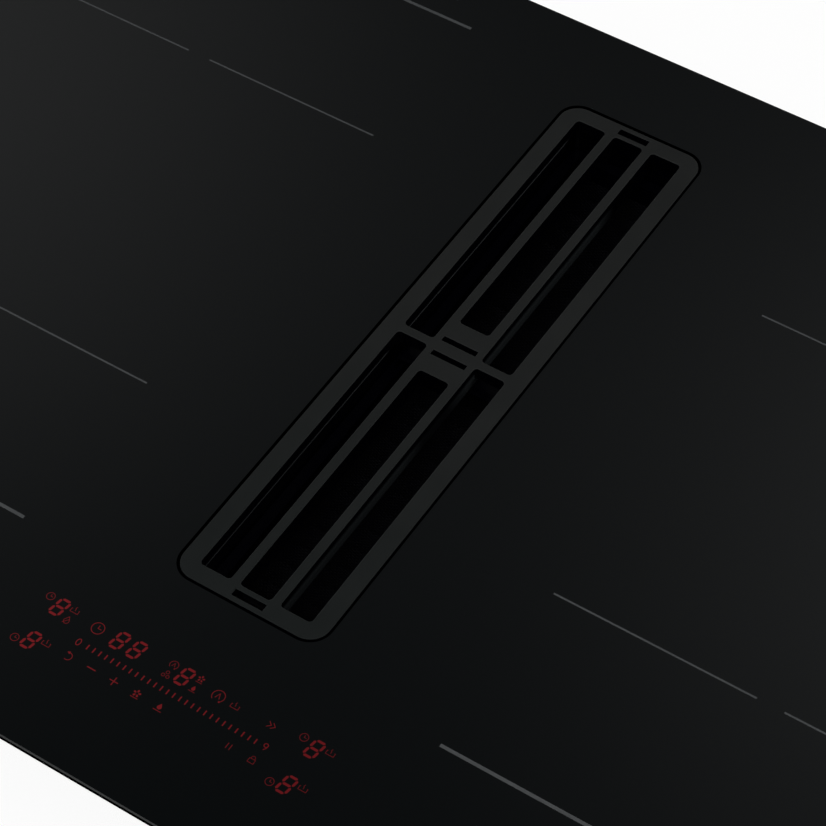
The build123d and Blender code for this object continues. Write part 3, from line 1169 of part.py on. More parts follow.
# ---------------------------------------------------------------- impeller and motor
def make_impeller():
    """The forward-curved impeller: back plate, ring of blades, shroud ring and the hub over the motor."""
    height = SHROUD_TOP - BACK_PLATE_BOTTOM

    root = polar(BLADE_ROOT_RADIUS, 0)
    middle = polar((BLADE_ROOT_RADIUS + IMPELLER_RADIUS) / 2, BLADE_SWEEP / 2 - BLADE_BULGE)
    tip = polar(IMPELLER_RADIUS - IMPELLER_WALL / 2, BLADE_SWEEP)
    blade = trace(ThreePointArc(root, middle, tip), BLADE_THICKNESS)
    blade = prism(blade, height - IMPELLER_WALL, BACK_PLATE_BOTTOM + IMPELLER_WALL / 2)
    wheel = disc(IMPELLER_RADIUS, IMPELLER_WALL, BACK_PLATE_BOTTOM)
    shroud_bottom = SHROUD_TOP - IMPELLER_WALL
    wheel += tube(IMPELLER_RADIUS, BLADE_ROOT_RADIUS - IMPELLER_WALL, IMPELLER_WALL, shroud_bottom)
    wheel += [Rot(0, 0, number * 360 / BLADE_COUNT) * blade for number in range(BLADE_COUNT)]
    hub_inner = ROTOR_OUTER_RADIUS + PRESS_GAP
    hub_height = ROTOR_TOP + PRESS_GAP - BACK_PLATE_BOTTOM
    hub = disc(hub_inner + IMPELLER_WALL, hub_height + IMPELLER_WALL, BACK_PLATE_BOTTOM)
    hub = fillet(hub.edges().group_by(Axis.Z)[-1], IMPELLER_WALL * 1.5)
    wheel += hub
    wheel -= disc(hub_inner, hub_height, BACK_PLATE_BOTTOM)
    return Pos(BLOWER_X, BLOWER_Y, 0) * wheel


def make_motor_rotor():
    """The motor's outer rotor: a steel cup with a boss that grips the shaft."""
    centre = (BLOWER_X, BLOWER_Y)
    rotor = disc(ROTOR_OUTER_RADIUS, ROTOR_TOP - ROTOR_BOTTOM, ROTOR_BOTTOM, centre)
    rotor -= disc(ROTOR_INNER_RADIUS, ROTOR_TOP - ROTOR_WALL - ROTOR_BOTTOM, ROTOR_BOTTOM, centre)
    return rotor - disc(SHAFT_RADIUS + PRESS_GAP, ROTOR_WALL, ROTOR_TOP - ROTOR_WALL, centre)


def make_motor_shaft():
    """The motor's shaft."""
    bottom = SCROLL_FLOOR + SEAT_CLEARANCE
    return disc(SHAFT_RADIUS, ROTOR_TOP - bottom, bottom, (BLOWER_X, BLOWER_Y))


def make_motor_stator():
    """The wound stator on its base, with a seat for a bearing at each end."""
    centre = (BLOWER_X, BLOWER_Y)
    base_top = SCROLL_FLOOR + STATOR_BASE_HEIGHT
    stator = disc(STATOR_RADIUS, STATOR_HEIGHT, base_top, centre)
    slot = plate(STATOR_SLOT_DEPTH * 2, STATOR_SLOT_WIDTH, STATOR_HEIGHT, base_top, (STATOR_RADIUS, 0))
    for number in range(STATOR_SLOTS):
        stator -= Pos(*centre, 0) * Rot(0, 0, number * 360 / STATOR_SLOTS) * slot
    stator += disc(STATOR_BASE_RADIUS, STATOR_BASE_HEIGHT, SCROLL_FLOOR, centre)
    for place in motor_screw_places():
        stator -= disc(SCREW_HOLE_RADIUS, STATOR_BASE_HEIGHT, SCROLL_FLOOR, place)
    return stator - disc(BEARING_RADIUS + PRESS_GAP, STATOR_TOP - SCROLL_FLOOR, SCROLL_FLOOR, centre)


def make_motor_bearings():
    """The two ball bearings of the motor shaft."""
    centre = (BLOWER_X, BLOWER_Y)
    levels = (SCROLL_FLOOR, STATOR_TOP - BEARING_WIDTH)
    inner = SHAFT_RADIUS + RUNNING_CLEARANCE
    return group([tube(BEARING_RADIUS, inner, BEARING_WIDTH, level, centre) for level in levels])


# ---------------------------------------------------------------- overflow cup
def make_overflow_cup():
    """The twist-off cup that catches what gets past the drip tray."""
    centre = (CUP_X, CUP_Y)
    bottom = CUP_TOP - CUP_HEIGHT
    cup = disc(CUP_RADIUS, CUP_HEIGHT, bottom, centre)
    cup = fillet(cup.edges().group_by(Axis.Z)[0], CUP_FLOOR_RADIUS)
    grip = disc(CUP_GRIP_RADIUS, CUP_GRIP_HEIGHT, bottom, (CUP_X + CUP_RADIUS, CUP_Y))
    for number in range(CUP_GRIPS):
        cup -= turned(grip, centre, number * 360 / CUP_GRIPS)
    inside = disc(CUP_RADIUS - CUP_WALL - CUP_GRIP_RADIUS, CUP_HEIGHT - CUP_WALL, bottom + CUP_WALL, centre)
    inside = fillet(inside.edges().group_by(Axis.Z)[0], CUP_FLOOR_RADIUS - CUP_WALL)
    return cup - inside


def make_cup_seal():
    """The rubber ring between the cup's rim and the deck."""
    inner = CUP_RADIUS - CUP_WALL - CUP_GRIP_RADIUS
    return tube(CUP_RADIUS, inner, CUP_SEAL, CUP_TOP, (CUP_X, CUP_Y))


# ---------------------------------------------------------------- clamps
def clamp_places():
    """The pivots of the four clamps: front left, back left, front right, back right."""
    x = FRAME_WIDTH / 2 - CLAMP_EDGE
    y = CASE_DEPTH / 2 - CLAMP_END_MARGIN
    return [(side * x, row * y) for side in (-1, 1) for row in (-1, 1)]


def make_clamp_pivots():
    """The shouldered pivots riveted to the case."""
    pivots = []
    for place in clamp_places():
        shoulder = CASE_BOTTOM - ARM_TOP - SEAT_CLEARANCE
        pivot = disc(PIVOT_SHOULDER_RADIUS, shoulder, ARM_TOP + SEAT_CLEARANCE, place)
        stem_bottom = ARM_BOTTOM - SEAT_CLEARANCE
        pivot += disc(PIVOT_RADIUS, CASE_FLOOR - stem_bottom, stem_bottom, place)
        pivot += disc(PIVOT_HEAD_RADIUS, PIVOT_HEAD, stem_bottom - PIVOT_HEAD, place)
        pivots.append(pivot)
    return group(pivots)


def bolt_place(place):
    """The press bolt at the arm's far end, while the arm lies stowed along the case."""
    x, y = place
    inwards = -1 if y > 0 else 1
    return x, y + inwards * (CLAMP_LENGTH - CLAMP_WIDTH)


def make_clamp_arm(place):
    """One steel arm, stowed along the side of the case."""
    x, y = place
    tip_x, tip_y = bolt_place(place)
    length = abs(tip_y - y) + CLAMP_WIDTH
    outline = Pos(x, (y + tip_y) / 2, ARM_BOTTOM) * Rot(0, 0, 90) * SlotOverall(length, CLAMP_WIDTH)
    arm = extrude(outline, CLAMP_SHEET)
    arm -= disc(PIVOT_RADIUS + RUNNING_CLEARANCE, CLAMP_SHEET, ARM_BOTTOM, place)
    return arm - disc(BOLT_RADIUS, CLAMP_SHEET, ARM_BOTTOM, (tip_x, tip_y))


def make_clamp_bolt(place):
    """The bolt that presses on the worktop from below once the arm is swung out."""
    tip = bolt_place(place)
    pad_top = CASE_BOTTOM - BOLT_GAP
    bolt = disc(BOLT_RADIUS, pad_top - ARM_BOTTOM, ARM_BOTTOM, tip)
    bolt += disc(BOLT_PAD_RADIUS, BOLT_PAD, pad_top - BOLT_PAD, tip)
    return bolt + disc(BOLT_HEAD_RADIUS, BOLT_HEAD, ARM_BOTTOM - BOLT_HEAD, tip)


# ---------------------------------------------------------------- all nodes
def all_nodes():
    """Every node's name with its solids."""
    nodes = {
        "glass_top": make_glass_top(),
        "rim_gasket": make_rim_gasket(),
        "glass_frame": make_glass_frame(),
        "grille": make_grille(),
        "grille_feet": make_grille_feet(),
        "well_seal": make_well_seal(),
        "suction_well": make_suction_well(),
        "filter_frame": make_filter_frame(),
        "filter_pleats": make_filter_pleats(),
        "filter_handle": make_filter_handle(),
        "drip_tray": make_drip_tray(),
        "lower_case": make_lower_case(),
        "mica_sheets": make_mica_sheets(),
        "ferrite_bars": make_ferrite_bars(),
        "coil_sensors": make_coil_sensors(),
        "posts": make_posts(),
        "board_capacitors": make_board_capacitors(),
        "board_chokes": make_board_chokes(),
        "control_tray": make_control_tray(),
        "control_board": make_control_board(),
        "light_guide": make_light_guide(),
        "digit_modules": make_digit_modules(),
        "terminal_block": make_terminal_block(),
        "terminal_cover": make_terminal_cover(),
        "cable_grommet": make_cable_grommet(),
        "plenum_cover": make_plenum_cover(),
        "blower_deck": make_blower_deck(),
        "scroll_housing": make_scroll_housing(),
        "outlet_duct": make_outlet_duct(),
        "screws": make_screws(),
        "impeller": make_impeller(),
        "motor_rotor": make_motor_rotor(),
        "motor_shaft": make_motor_shaft(),
        "motor_stator": make_motor_stator(),
        "motor_bearings": make_motor_bearings(),
        "overflow_cup": make_overflow_cup(),
        "cup_seal": make_cup_seal(),
        "clamp_pivots": make_clamp_pivots(),
    }
    for name, side in SIDES.items():
        nodes[f"coil_front_{name}"] = make_coil(side, -1)
        nodes[f"coil_back_{name}"] = make_coil(side, 1)
        nodes[f"carrier_plate_{name}"] = make_carrier_plate(side)
        nodes[f"power_board_{name}"] = make_power_board(side)
        nodes[f"heat_sink_{name}"] = make_heat_sink(side)
        nodes[f"fan_frame_{name}"] = make_fan_frame(side)
        nodes[f"fan_rotor_{name}"] = make_fan_rotor(side)
    corners = ("front_left", "back_left", "front_right", "back_right")
    for corner, place in zip(corners, clamp_places()):
        nodes[f"clamp_arm_{corner}"] = make_clamp_arm(place)
        nodes[f"clamp_bolt_{corner}"] = make_clamp_bolt(place)
    return nodes


def main():
    """Write one STEP file for each node."""
    os.makedirs("parts", exist_ok=True)
    for name, shape in all_nodes().items():
        export_step(shape, f"parts/{name}.step")


main()
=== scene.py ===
import json
import math

import bmesh
import bpy
from mathutils import Matrix, Vector


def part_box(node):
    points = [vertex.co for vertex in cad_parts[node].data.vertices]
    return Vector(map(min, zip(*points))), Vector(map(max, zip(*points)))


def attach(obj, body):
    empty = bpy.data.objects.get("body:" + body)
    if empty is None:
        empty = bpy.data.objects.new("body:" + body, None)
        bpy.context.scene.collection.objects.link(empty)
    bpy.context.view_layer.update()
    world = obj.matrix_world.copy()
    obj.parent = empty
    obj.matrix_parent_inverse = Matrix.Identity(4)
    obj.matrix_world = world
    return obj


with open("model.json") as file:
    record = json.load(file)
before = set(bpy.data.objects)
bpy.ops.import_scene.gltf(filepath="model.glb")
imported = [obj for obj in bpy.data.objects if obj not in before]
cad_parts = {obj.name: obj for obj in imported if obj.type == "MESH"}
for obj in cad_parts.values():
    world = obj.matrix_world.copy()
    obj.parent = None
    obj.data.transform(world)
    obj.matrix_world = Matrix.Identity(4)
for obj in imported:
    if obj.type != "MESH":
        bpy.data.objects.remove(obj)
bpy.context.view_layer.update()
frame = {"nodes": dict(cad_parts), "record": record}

# Sizes are in millimetres, and MM turns them into the frame's metres. What is read from the frame, the
# stage's size and the lamps' sizes and distances are in metres.
MM = 0.001
GLASS_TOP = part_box("glass_top")[1].z
JOINTS = {joint["name"]: joint for joint in frame["record"]["behaviour"]["joints"]}
CUP_DROP = JOINTS["cup_drop"]["range_m"][1]
FLOOR_CLEARANCE = 0.5
# The floor stays clear of the overflow cup when that is taken off downwards.
FLOOR_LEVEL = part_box("overflow_cup")[0].z - CUP_DROP - FLOOR_CLEARANCE * MM


# ---------------------------------------------------------------- camera
# The view was worked out from the straight edges in the photograph, on glass 515 mm deep.
CAMERA_PLACE = Vector((445.85, -695.01, 1010.17)) * MM
CAMERA_AZIMUTH = math.radians(32.983)
CAMERA_ELEVATION = math.radians(51.048)
CAMERA_ROLL = math.radians(-0.177)
CAMERA_SENSOR = 36.0
CAMERA_LENS = 120.63

camera_data = bpy.data.cameras.new("camera")
camera_data.sensor_width = CAMERA_SENSOR
camera_data.lens = CAMERA_LENS
camera = bpy.data.objects.new("camera", camera_data)
bpy.context.scene.collection.objects.link(camera)
bpy.context.scene.camera = camera
back = Vector((
    math.sin(CAMERA_AZIMUTH) * math.cos(CAMERA_ELEVATION),
    -math.cos(CAMERA_AZIMUTH) * math.cos(CAMERA_ELEVATION),
    math.sin(CAMERA_ELEVATION),
))
right = (-back).cross(Vector((0, 0, 1))).normalized()
up = right.cross(-back)
side = math.cos(CAMERA_ROLL) * right + math.sin(CAMERA_ROLL) * up
turned = Matrix((side, back.cross(side), back)).transposed().to_4x4()
camera.matrix_world = Matrix.Translation(CAMERA_PLACE) @ turned


# ---------------------------------------------------------------- shader helpers
BLACK = (0.0, 0.0, 0.0)
WHITE = (1.0, 1.0, 1.0)
NOISE_LOW = 0.25         # most noise lies between these
NOISE_HIGH = 0.75
NOISE_DETAIL = 3.0
BLOTCH_DETAIL = 4.0


def start_material(name):
    """A new material with its nodes, its links and its shader."""
    material = bpy.data.materials.new(name)
    material.use_nodes = True
    tree = material.node_tree
    return material, tree.nodes, tree.links, tree.nodes["Principled BSDF"]


def place_node(nodes, links, stretch=(1, 1, 1)):
    """Where on the piece a point is, in metres, stretched along the axes."""
    place = nodes.new("ShaderNodeTexCoord")
    scaled = nodes.new("ShaderNodeMapping")
    scaled.inputs["Scale"].default_value = stretch
    links.new(place.outputs["Object"], scaled.inputs["Vector"])
    return scaled.outputs["Vector"]


def axes(nodes, links, vector):
    """The vector's parts along X, Y and Z."""
    split = nodes.new("ShaderNodeSeparateXYZ")
    links.new(vector, split.inputs["Vector"])
    return split.outputs["X"], split.outputs["Y"], split.outputs["Z"]


def upward(nodes, links):
    """How far the surface looks up: 1 where it is level, 0 on a wall and -1 underneath."""
    facing = nodes.new("ShaderNodeNewGeometry")
    return axes(nodes, links, facing.outputs["True Normal"])[2]


def noise_node(nodes, links, vector, size, detail=NOISE_DETAIL):
    """Soft noise whose blotches have the given size in millimetres."""
    noise = nodes.new("ShaderNodeTexNoise")
    noise.inputs["Scale"].default_value = 1.0 / (size * MM)
    noise.inputs["Detail"].default_value = detail
    links.new(vector, noise.inputs["Vector"])
    return noise.outputs["Fac"]


def ranged(nodes, links, value, low, high, start=NOISE_LOW, end=NOISE_HIGH):
    """The value from start to end, turned into a number from low to high."""
    node = nodes.new("ShaderNodeMapRange")
    node.inputs["From Min"].default_value = start
    node.inputs["From Max"].default_value = end
    node.inputs["To Min"].default_value = low
    node.inputs["To Max"].default_value = high
    links.new(value, node.inputs["Value"])
    return node.outputs["Result"]


def between(nodes, links, factor, low, high):
    """Low where the factor is 0, high where it is 1."""
    return ranged(nodes, links, factor, low, high, 0, 1)


def rising(nodes, links, value, span, low=0, high=1):
    """Low before the span and high past it. The value is in metres, the span in millimetres."""
    return ranged(nodes, links, value, low, high, span[0] * MM, span[1] * MM)


def falling(nodes, links, value, span):
    """1 before the span and 0 past it. The value is in metres, the span in millimetres."""
    return rising(nodes, links, value, span, 1, 0)


def mixed(nodes, links, factor, first, second):
    """A colour between two colours."""
    node = nodes.new("ShaderNodeMix")
    node.data_type = "RGBA"
    links.new(factor, node.inputs["Factor"])
    for socket, colour in ((node.inputs["A"], first), (node.inputs["B"], second)):
        if isinstance(colour, bpy.types.NodeSocket):
            links.new(colour, socket)
        else:
            socket.default_value = (*colour, 1.0)
    return node.outputs["Result"]


def bumped(nodes, links, height, depth, shader):
    """Roughens the surface by the height, depth in millimetres."""
    node = nodes.new("ShaderNodeBump")
    node.inputs["Strength"].default_value = 1.0
    node.inputs["Distance"].default_value = depth * MM
    links.new(height, node.inputs["Height"])
    links.new(node.outputs["Normal"], shader.inputs["Normal"])


def calculated(nodes, links, operation, *values):
    """One sum or product of sockets and numbers."""
    node = nodes.new("ShaderNodeMath")
    node.operation = operation
    for socket, value in zip(node.inputs, values):
        if isinstance(value, bpy.types.NodeSocket):
            links.new(value, socket)
        else:
            socket.default_value = value
    return node.outputs["Value"]


def product(nodes, links, *factors):
    """All the factors multiplied."""
    value = factors[0]
    for factor in factors[1:]:
        value = calculated(nodes, links, "MULTIPLY", value, factor)
    return value


def band(nodes, links, value, middle, half, soft):
    """1 where the value is within half of the middle, and 0 past a soft edge. The value is in metres, the
    rest in millimetres."""
    away = calculated(nodes, links, "SUBTRACT", value, middle * MM)
    away = calculated(nodes, links, "ABSOLUTE", away)
    return falling(nodes, links, away, (half, half + soft))


def shade(colour, share):
    """The colour, darker for a share under 1 and lighter for one over 1."""
    return [min(1.0, channel * share) for channel in colour]


# ---------------------------------------------------------------- plain materials
ROUGHNESS_SPREAD = 0.08


def plain_finish(name, colour, roughness, metallic=0.0, grain=0.6, depth=0.02, spread=0.12, blotch=35.0,
                 stretch=(1, 1, 1), specular=0.5):
    """Moulded, painted, cast or rolled material: a fine grain, soft blotches and uneven gloss."""
    material, nodes, links, shader = start_material(name)
    vector = place_node(nodes, links, stretch)
    fine = noise_node(nodes, links, vector, grain)
    broad = noise_node(nodes, links, vector, blotch, BLOTCH_DETAIL)
    dark, light = shade(colour, 1 - spread), shade(colour, 1 + spread)
    tone = ranged(nodes, links, broad, 0, 1)
    links.new(mixed(nodes, links, tone, dark, light), shader.inputs["Base Color"])
    uneven = ranged(nodes, links, broad, roughness - ROUGHNESS_SPREAD, roughness + ROUGHNESS_SPREAD)
    links.new(uneven, shader.inputs["Roughness"])
    bumped(nodes, links, fine, depth, shader)
    shader.inputs["Metallic"].default_value = metallic
    shader.inputs["Specular IOR Level"].default_value = specular
    return material


# ---------------------------------------------------------------- glass
GLASS_BLACK = (0.0012, 0.0018, 0.0021)
GLASS_GROUND = (0.016, 0.017, 0.0175)
GLASS_ROUGHNESS = 0.45            # of the ground bevel
GLASS_POLISH = (0.42, 0.38)       # what the polish takes off it, in thin and in thick haze
GLASS_LEVEL = (0.9, 0.98)         # how far up the polished faces look
GLASS_SIDE = (0.2, 0.5)           # the sides look up less than this
HAZE_SIZE = 90.0
HAZE_DETAIL = 5.0
OPENING_ASIDE = (60.0, 80.0)      # the opening's edge lies before these, from the middle of the glass
OPENING_ALONG = (225.0, 240.0)


def glass_finish():
    """Black glass-ceramic: polished, with the faintest haze, a ground bevel and dark sides and opening."""
    material, nodes, links, shader = start_material("black_glass")
    vector = place_node(nodes, links)
    x, y, _ = axes(nodes, links, vector)
    level = upward(nodes, links)
    is_level = ranged(nodes, links, level, 0, 1, *GLASS_LEVEL)
    is_side = ranged(nodes, links, level, 1, 0, *GLASS_SIDE)
    is_opening = product(
        nodes, links,
        falling(nodes, links, calculated(nodes, links, "ABSOLUTE", x), OPENING_ASIDE),
        falling(nodes, links, calculated(nodes, links, "ABSOLUTE", y), OPENING_ALONG),
        calculated(nodes, links, "SUBTRACT", 1.0, is_level),
    )
    is_dark = calculated(nodes, links, "MAXIMUM", is_side, is_opening)
    ground = mixed(nodes, links, is_dark, GLASS_GROUND, BLACK)
    links.new(mixed(nodes, links, is_level, ground, GLASS_BLACK), shader.inputs["Base Color"])
    haze = noise_node(nodes, links, vector, HAZE_SIZE, HAZE_DETAIL)
    polish = calculated(nodes, links, "MULTIPLY", is_level, ranged(nodes, links, haze, *GLASS_POLISH))
    links.new(calculated(nodes, links, "SUBTRACT", GLASS_ROUGHNESS, polish), shader.inputs["Roughness"])
    links.new(is_dark, shader.inputs["Metallic"])
    links.new(mixed(nodes, links, is_dark, WHITE, BLACK), shader.inputs["Specular Tint"])
    return material


# ---------------------------------------------------------------- grille
# Spans are a start and an end, bands a middle, a half and a soft edge.
# Painted shade darkens the grille's top towards the front.
PAINTED_SHADE_ALONG = (-150.0, 50.0)          # the top gets paler along this span
FRAME_WALL = (30.1, 0.2, 0.05)       # the frame's inner walls, to each side
HIGHLIGHT_LINE_HEIGHT = (-2.9, 0.9, 0.8)        # a painted highlight line on them
HIGHLIGHT_LINE_BREAK = (22.0, 4.0, 4.0)         # where the painted highlight line stops, in a cross bar's painted shadow
HIGHLIGHT_LINE_END = (181.0, 186.0)
HIGHLIGHT_LINE_ALONG = (-150.0, 60.0)           # the line gets stronger along this span
HIGHLIGHT_LINE_FRONT = 0.55                     # its strength before that
BAR_WALL = (13.4, 0.2, 0.05)         # the bars' outer walls, to each side
SHEEN_TOP = (-0.45, 1.85)            # the painted sheen on them fades out upwards
SHEEN_PEAK = (-1.15, 0.6, 0.9)       # and is strongest here
SHEEN_OFF_PEAK = 0.79
SHEEN_BOTTOM = (-7.6, -4.8)
SHEEN_END = (140.0, 156.0)
SHEEN_HUB = (-9.0, 10.0, 18.0)       # it is weak along this band
SHEEN_AT_HUB = 0.2
SHEEN_ALONG = (-130.0, 60.0)         # and gets stronger along this span
SHEEN_FRONT = 0.66
GRILLE_GRAIN = 0.35
GRILLE_GRAIN_DEPTH = 0.012
GRILLE_BLOTCH = 22.0
GRILLE_TOP = (0.3, 0.6)              # how far up the top and its rounded edges look
GRILLE_LEVEL = (0.93, 0.98)          # how far up the level top looks
GRILLE_ROUGHNESS = (0.25, 0.9)       # on the walls and on the rounded edges
GRILLE_GLOSS = (0.44, 0.36)          # what the level top's coat takes off it
GRILLE_SPECULAR = 0.35


def grille_finish(name, top, shaded_front, shaded_walls, edge, painted_sheen):
    """Cast metal under a satin black coat. Painted shade makes the top darker towards the front and the walls
    of the slots near black. A highlight line is painted along the frame's lower inner edges, and a sheen is
    painted on the bars' outer walls."""
    material, nodes, links, shader = start_material(name)
    vector = place_node(nodes, links)
    fine = noise_node(nodes, links, vector, GRILLE_GRAIN)
    broad = noise_node(nodes, links, vector, GRILLE_BLOTCH, BLOTCH_DETAIL)
    x, along, height = axes(nodes, links, vector)
    aside = calculated(nodes, links, "ABSOLUTE", x)
    level = upward(nodes, links)
    is_top = ranged(nodes, links, level, 0, 1, *GRILLE_TOP)
    # Painted shade: the top is darker at the front than at the back.
    tops = mixed(nodes, links, rising(nodes, links, along, PAINTED_SHADE_ALONG), shaded_front, top)
    # Painted highlight: a light line along the frame's lower inner edges, broken by a cross bar's painted
    # shadow.
    painted_line = product(
        nodes, links,
        band(nodes, links, aside, *FRAME_WALL),
        band(nodes, links, height, *HIGHLIGHT_LINE_HEIGHT),
        between(nodes, links, band(nodes, links, along, *HIGHLIGHT_LINE_BREAK), 1, 0),
        falling(nodes, links, along, HIGHLIGHT_LINE_END),
        rising(nodes, links, along, HIGHLIGHT_LINE_ALONG, HIGHLIGHT_LINE_FRONT, 1),
    )
    # Painted sheen on the bars' outer walls.
    glow = product(
        nodes, links,
        band(nodes, links, aside, *BAR_WALL),
        falling(nodes, links, height, SHEEN_TOP),
        between(nodes, links, band(nodes, links, height, *SHEEN_PEAK), SHEEN_OFF_PEAK, 1),
        rising(nodes, links, height, SHEEN_BOTTOM),
        falling(nodes, links, along, SHEEN_END),
        between(nodes, links, band(nodes, links, along, *SHEEN_HUB), 1, SHEEN_AT_HUB),
        rising(nodes, links, along, SHEEN_ALONG, SHEEN_FRONT, 1),
    )
    # Painted shade: the slots' walls are painted near black.
    inside = mixed(nodes, links, glow, shaded_walls, painted_sheen)
    inside = mixed(nodes, links, painted_line, inside, edge)
    links.new(mixed(nodes, links, is_top, inside, tops), shader.inputs["Base Color"])
    steep = ranged(nodes, links, level, *GRILLE_ROUGHNESS, *GRILLE_TOP)
    is_level = ranged(nodes, links, level, 0, 1, *GRILLE_LEVEL)
    gloss = calculated(nodes, links, "MULTIPLY", is_level, ranged(nodes, links, broad, *GRILLE_GLOSS))
    links.new(calculated(nodes, links, "SUBTRACT", steep, gloss), shader.inputs["Roughness"])
    bumped(nodes, links, fine, GRILLE_GRAIN_DEPTH, shader)
    shader.inputs["Specular IOR Level"].default_value = GRILLE_SPECULAR
    return material


# ---------------------------------------------------------------- case
CRYSTAL_SIZE = 6.0
CRYSTAL_SHADES = (0.86, 1.1)
CRYSTAL_ROUGHNESS = (0.32, 0.46)
ZINC_GRAIN = 1.2
ZINC_GRAIN_DEPTH = 0.01


def galvanised_finish(name, colour):
    """Zinc-coated sheet with its crystal pattern."""
    material, nodes, links, shader = start_material(name)
    vector = place_node(nodes, links)
    crystals = nodes.new("ShaderNodeTexVoronoi")
    crystals.inputs["Scale"].default_value = 1.0 / (CRYSTAL_SIZE * MM)
    crystals.inputs["Randomness"].default_value = 1.0
    links.new(vector, crystals.inputs["Vector"])
    tone = nodes.new("ShaderNodeSeparateColor")
    links.new(crystals.outputs["Color"], tone.inputs["Color"])
    dark, light = (shade(colour, share) for share in CRYSTAL_SHADES)
    links.new(mixed(nodes, links, tone.outputs["Red"], dark, light), shader.inputs["Base Color"])
    links.new(between(nodes, links, tone.outputs["Green"], *CRYSTAL_ROUGHNESS), shader.inputs["Roughness"])
    bumped(nodes, links, noise_node(nodes, links, vector, ZINC_GRAIN), ZINC_GRAIN_DEPTH, shader)
    shader.inputs["Metallic"].default_value = 1.0
    return material


# ---------------------------------------------------------------- filter
MESH_SLANT = 0.6                  # how far the rows of holes lean
MESH_STRANDS = (0.1, 0.7)         # the strands rise between these heights of the waves
MESH_HOLE_SHADE = 0.06
MESH_ROUGHNESS = (0.7, 0.35)      # in the holes and on the strands
MESH_DEPTH = 0.3
MESH_METALLIC = 0.5
MESH_SPECULAR = 0.15


def mesh_finish(name, colour, pitch):
    """Expanded metal mesh: small diamond holes in rows."""
    material, nodes, links, shader = start_material(name)
    x, y, z = axes(nodes, links, place_node(nodes, links))
    along = calculated(nodes, links, "ADD", y, z)
    waves = []
    for slant in (MESH_SLANT, -MESH_SLANT):
        across = calculated(nodes, links, "MULTIPLY_ADD", x, slant, along)
        turn = calculated(nodes, links, "MULTIPLY", across, 2 * math.pi / (pitch * MM))
        waves.append(calculated(nodes, links, "SINE", turn))
    height = ranged(nodes, links, calculated(nodes, links, "MAXIMUM", *waves), 0, 1, *MESH_STRANDS)
    hole = shade(colour, MESH_HOLE_SHADE)
    links.new(mixed(nodes, links, height, hole, colour), shader.inputs["Base Color"])
    links.new(between(nodes, links, height, *MESH_ROUGHNESS), shader.inputs["Roughness"])
    bumped(nodes, links, height, MESH_DEPTH, shader)
    shader.inputs["Metallic"].default_value = MESH_METALLIC
    shader.inputs["Specular IOR Level"].default_value = MESH_SPECULAR
    return material


CASSETTE_OUTWARD = (5.0, 15.0)       # past these a wall looks away from the cassette's middle
CASSETTE_UNDERSIDE = (-0.9, -0.5)    # a face that looks up less than this is the underside
CASSETTE_ROUGHNESS = 0.3
CASSETTE_DULL = (0.05, 0.2)          # added to that on the outside
CASSETTE_BLOTCH = 30.0
CASSETTE_GRAIN = 0.4
CASSETTE_GRAIN_DEPTH = 0.004
CASSETTE_SPECULAR = 0.1


def cassette_finish(name, shaded_inside, outer):
    """Coated sheet steel: nearly black on top and inside, its black coat darkened further by painted shade,
    and satin outside.
    """
    material, nodes, links, shader = start_material(name)
    low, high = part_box("filter_frame")
    outward = nodes.new("ShaderNodeVectorMath")
    outward.operation = "SUBTRACT"
    outward.inputs[1].default_value = ((low.x + high.x) / 2, (low.y + high.y) / 2, 0)
    links.new(place_node(nodes, links, (1, 1, 0)), outward.inputs[0])
    facing = nodes.new("ShaderNodeTexCoord")
    towards = nodes.new("ShaderNodeVectorMath")
    towards.operation = "DOT_PRODUCT"
    links.new(outward.outputs["Vector"], towards.inputs[0])
    links.new(facing.outputs["Normal"], towards.inputs[1])
    level = axes(nodes, links, facing.outputs["Normal"])[2]
    is_outer = calculated(
        nodes, links, "MAXIMUM",
        rising(nodes, links, towards.outputs["Value"], CASSETTE_OUTWARD),
        ranged(nodes, links, level, 1, 0, *CASSETTE_UNDERSIDE),
    )
    links.new(mixed(nodes, links, is_outer, shaded_inside, outer), shader.inputs["Base Color"])
    vector = place_node(nodes, links)
    blotches = noise_node(nodes, links, vector, CASSETTE_BLOTCH, BLOTCH_DETAIL)
    dull = calculated(nodes, links, "MULTIPLY", is_outer, ranged(nodes, links, blotches, *CASSETTE_DULL))
    links.new(calculated(nodes, links, "ADD", dull, CASSETTE_ROUGHNESS), shader.inputs["Roughness"])
    bumped(nodes, links, noise_node(nodes, links, vector, CASSETTE_GRAIN), CASSETTE_GRAIN_DEPTH, shader)
    shader.inputs["Specular IOR Level"].default_value = CASSETTE_SPECULAR
    return material


# ---------------------------------------------------------------- windings
WIRE_GAP_SHADE = 0.35
WIRE_METALLIC = 0.7
WIRE_ROUGHNESS = 0.35
COIL_CORNER = 70.0                # radius of a coil's corners


def wound(nodes, links, shader, distance, colour, pitch):
    """Turns of lacquered copper: a ridge and a dark gap for every pitch, in millimetres."""
    turn = calculated(nodes, links, "MULTIPLY", distance, 2 * math.pi / (pitch * MM))
    height = ranged(nodes, links, calculated(nodes, links, "SINE", turn), 0, 1, -1, 1)
    links.new(mixed(nodes, links, height, shade(colour, WIRE_GAP_SHADE), colour), shader.inputs["Base Color"])
    bumped(nodes, links, height, pitch / 4, shader)
    shader.inputs["Metallic"].default_value = WIRE_METALLIC
    shader.inputs["Roughness"].default_value = WIRE_ROUGHNESS


def wire_finish(name, colour, pitch):
    """Copper wire in level turns, as on the chokes and the motor."""
    material, nodes, links, shader = start_material(name)
    height = axes(nodes, links, place_node(nodes, links))[2]
    wound(nodes, links, shader, height, colour, pitch)
    return material


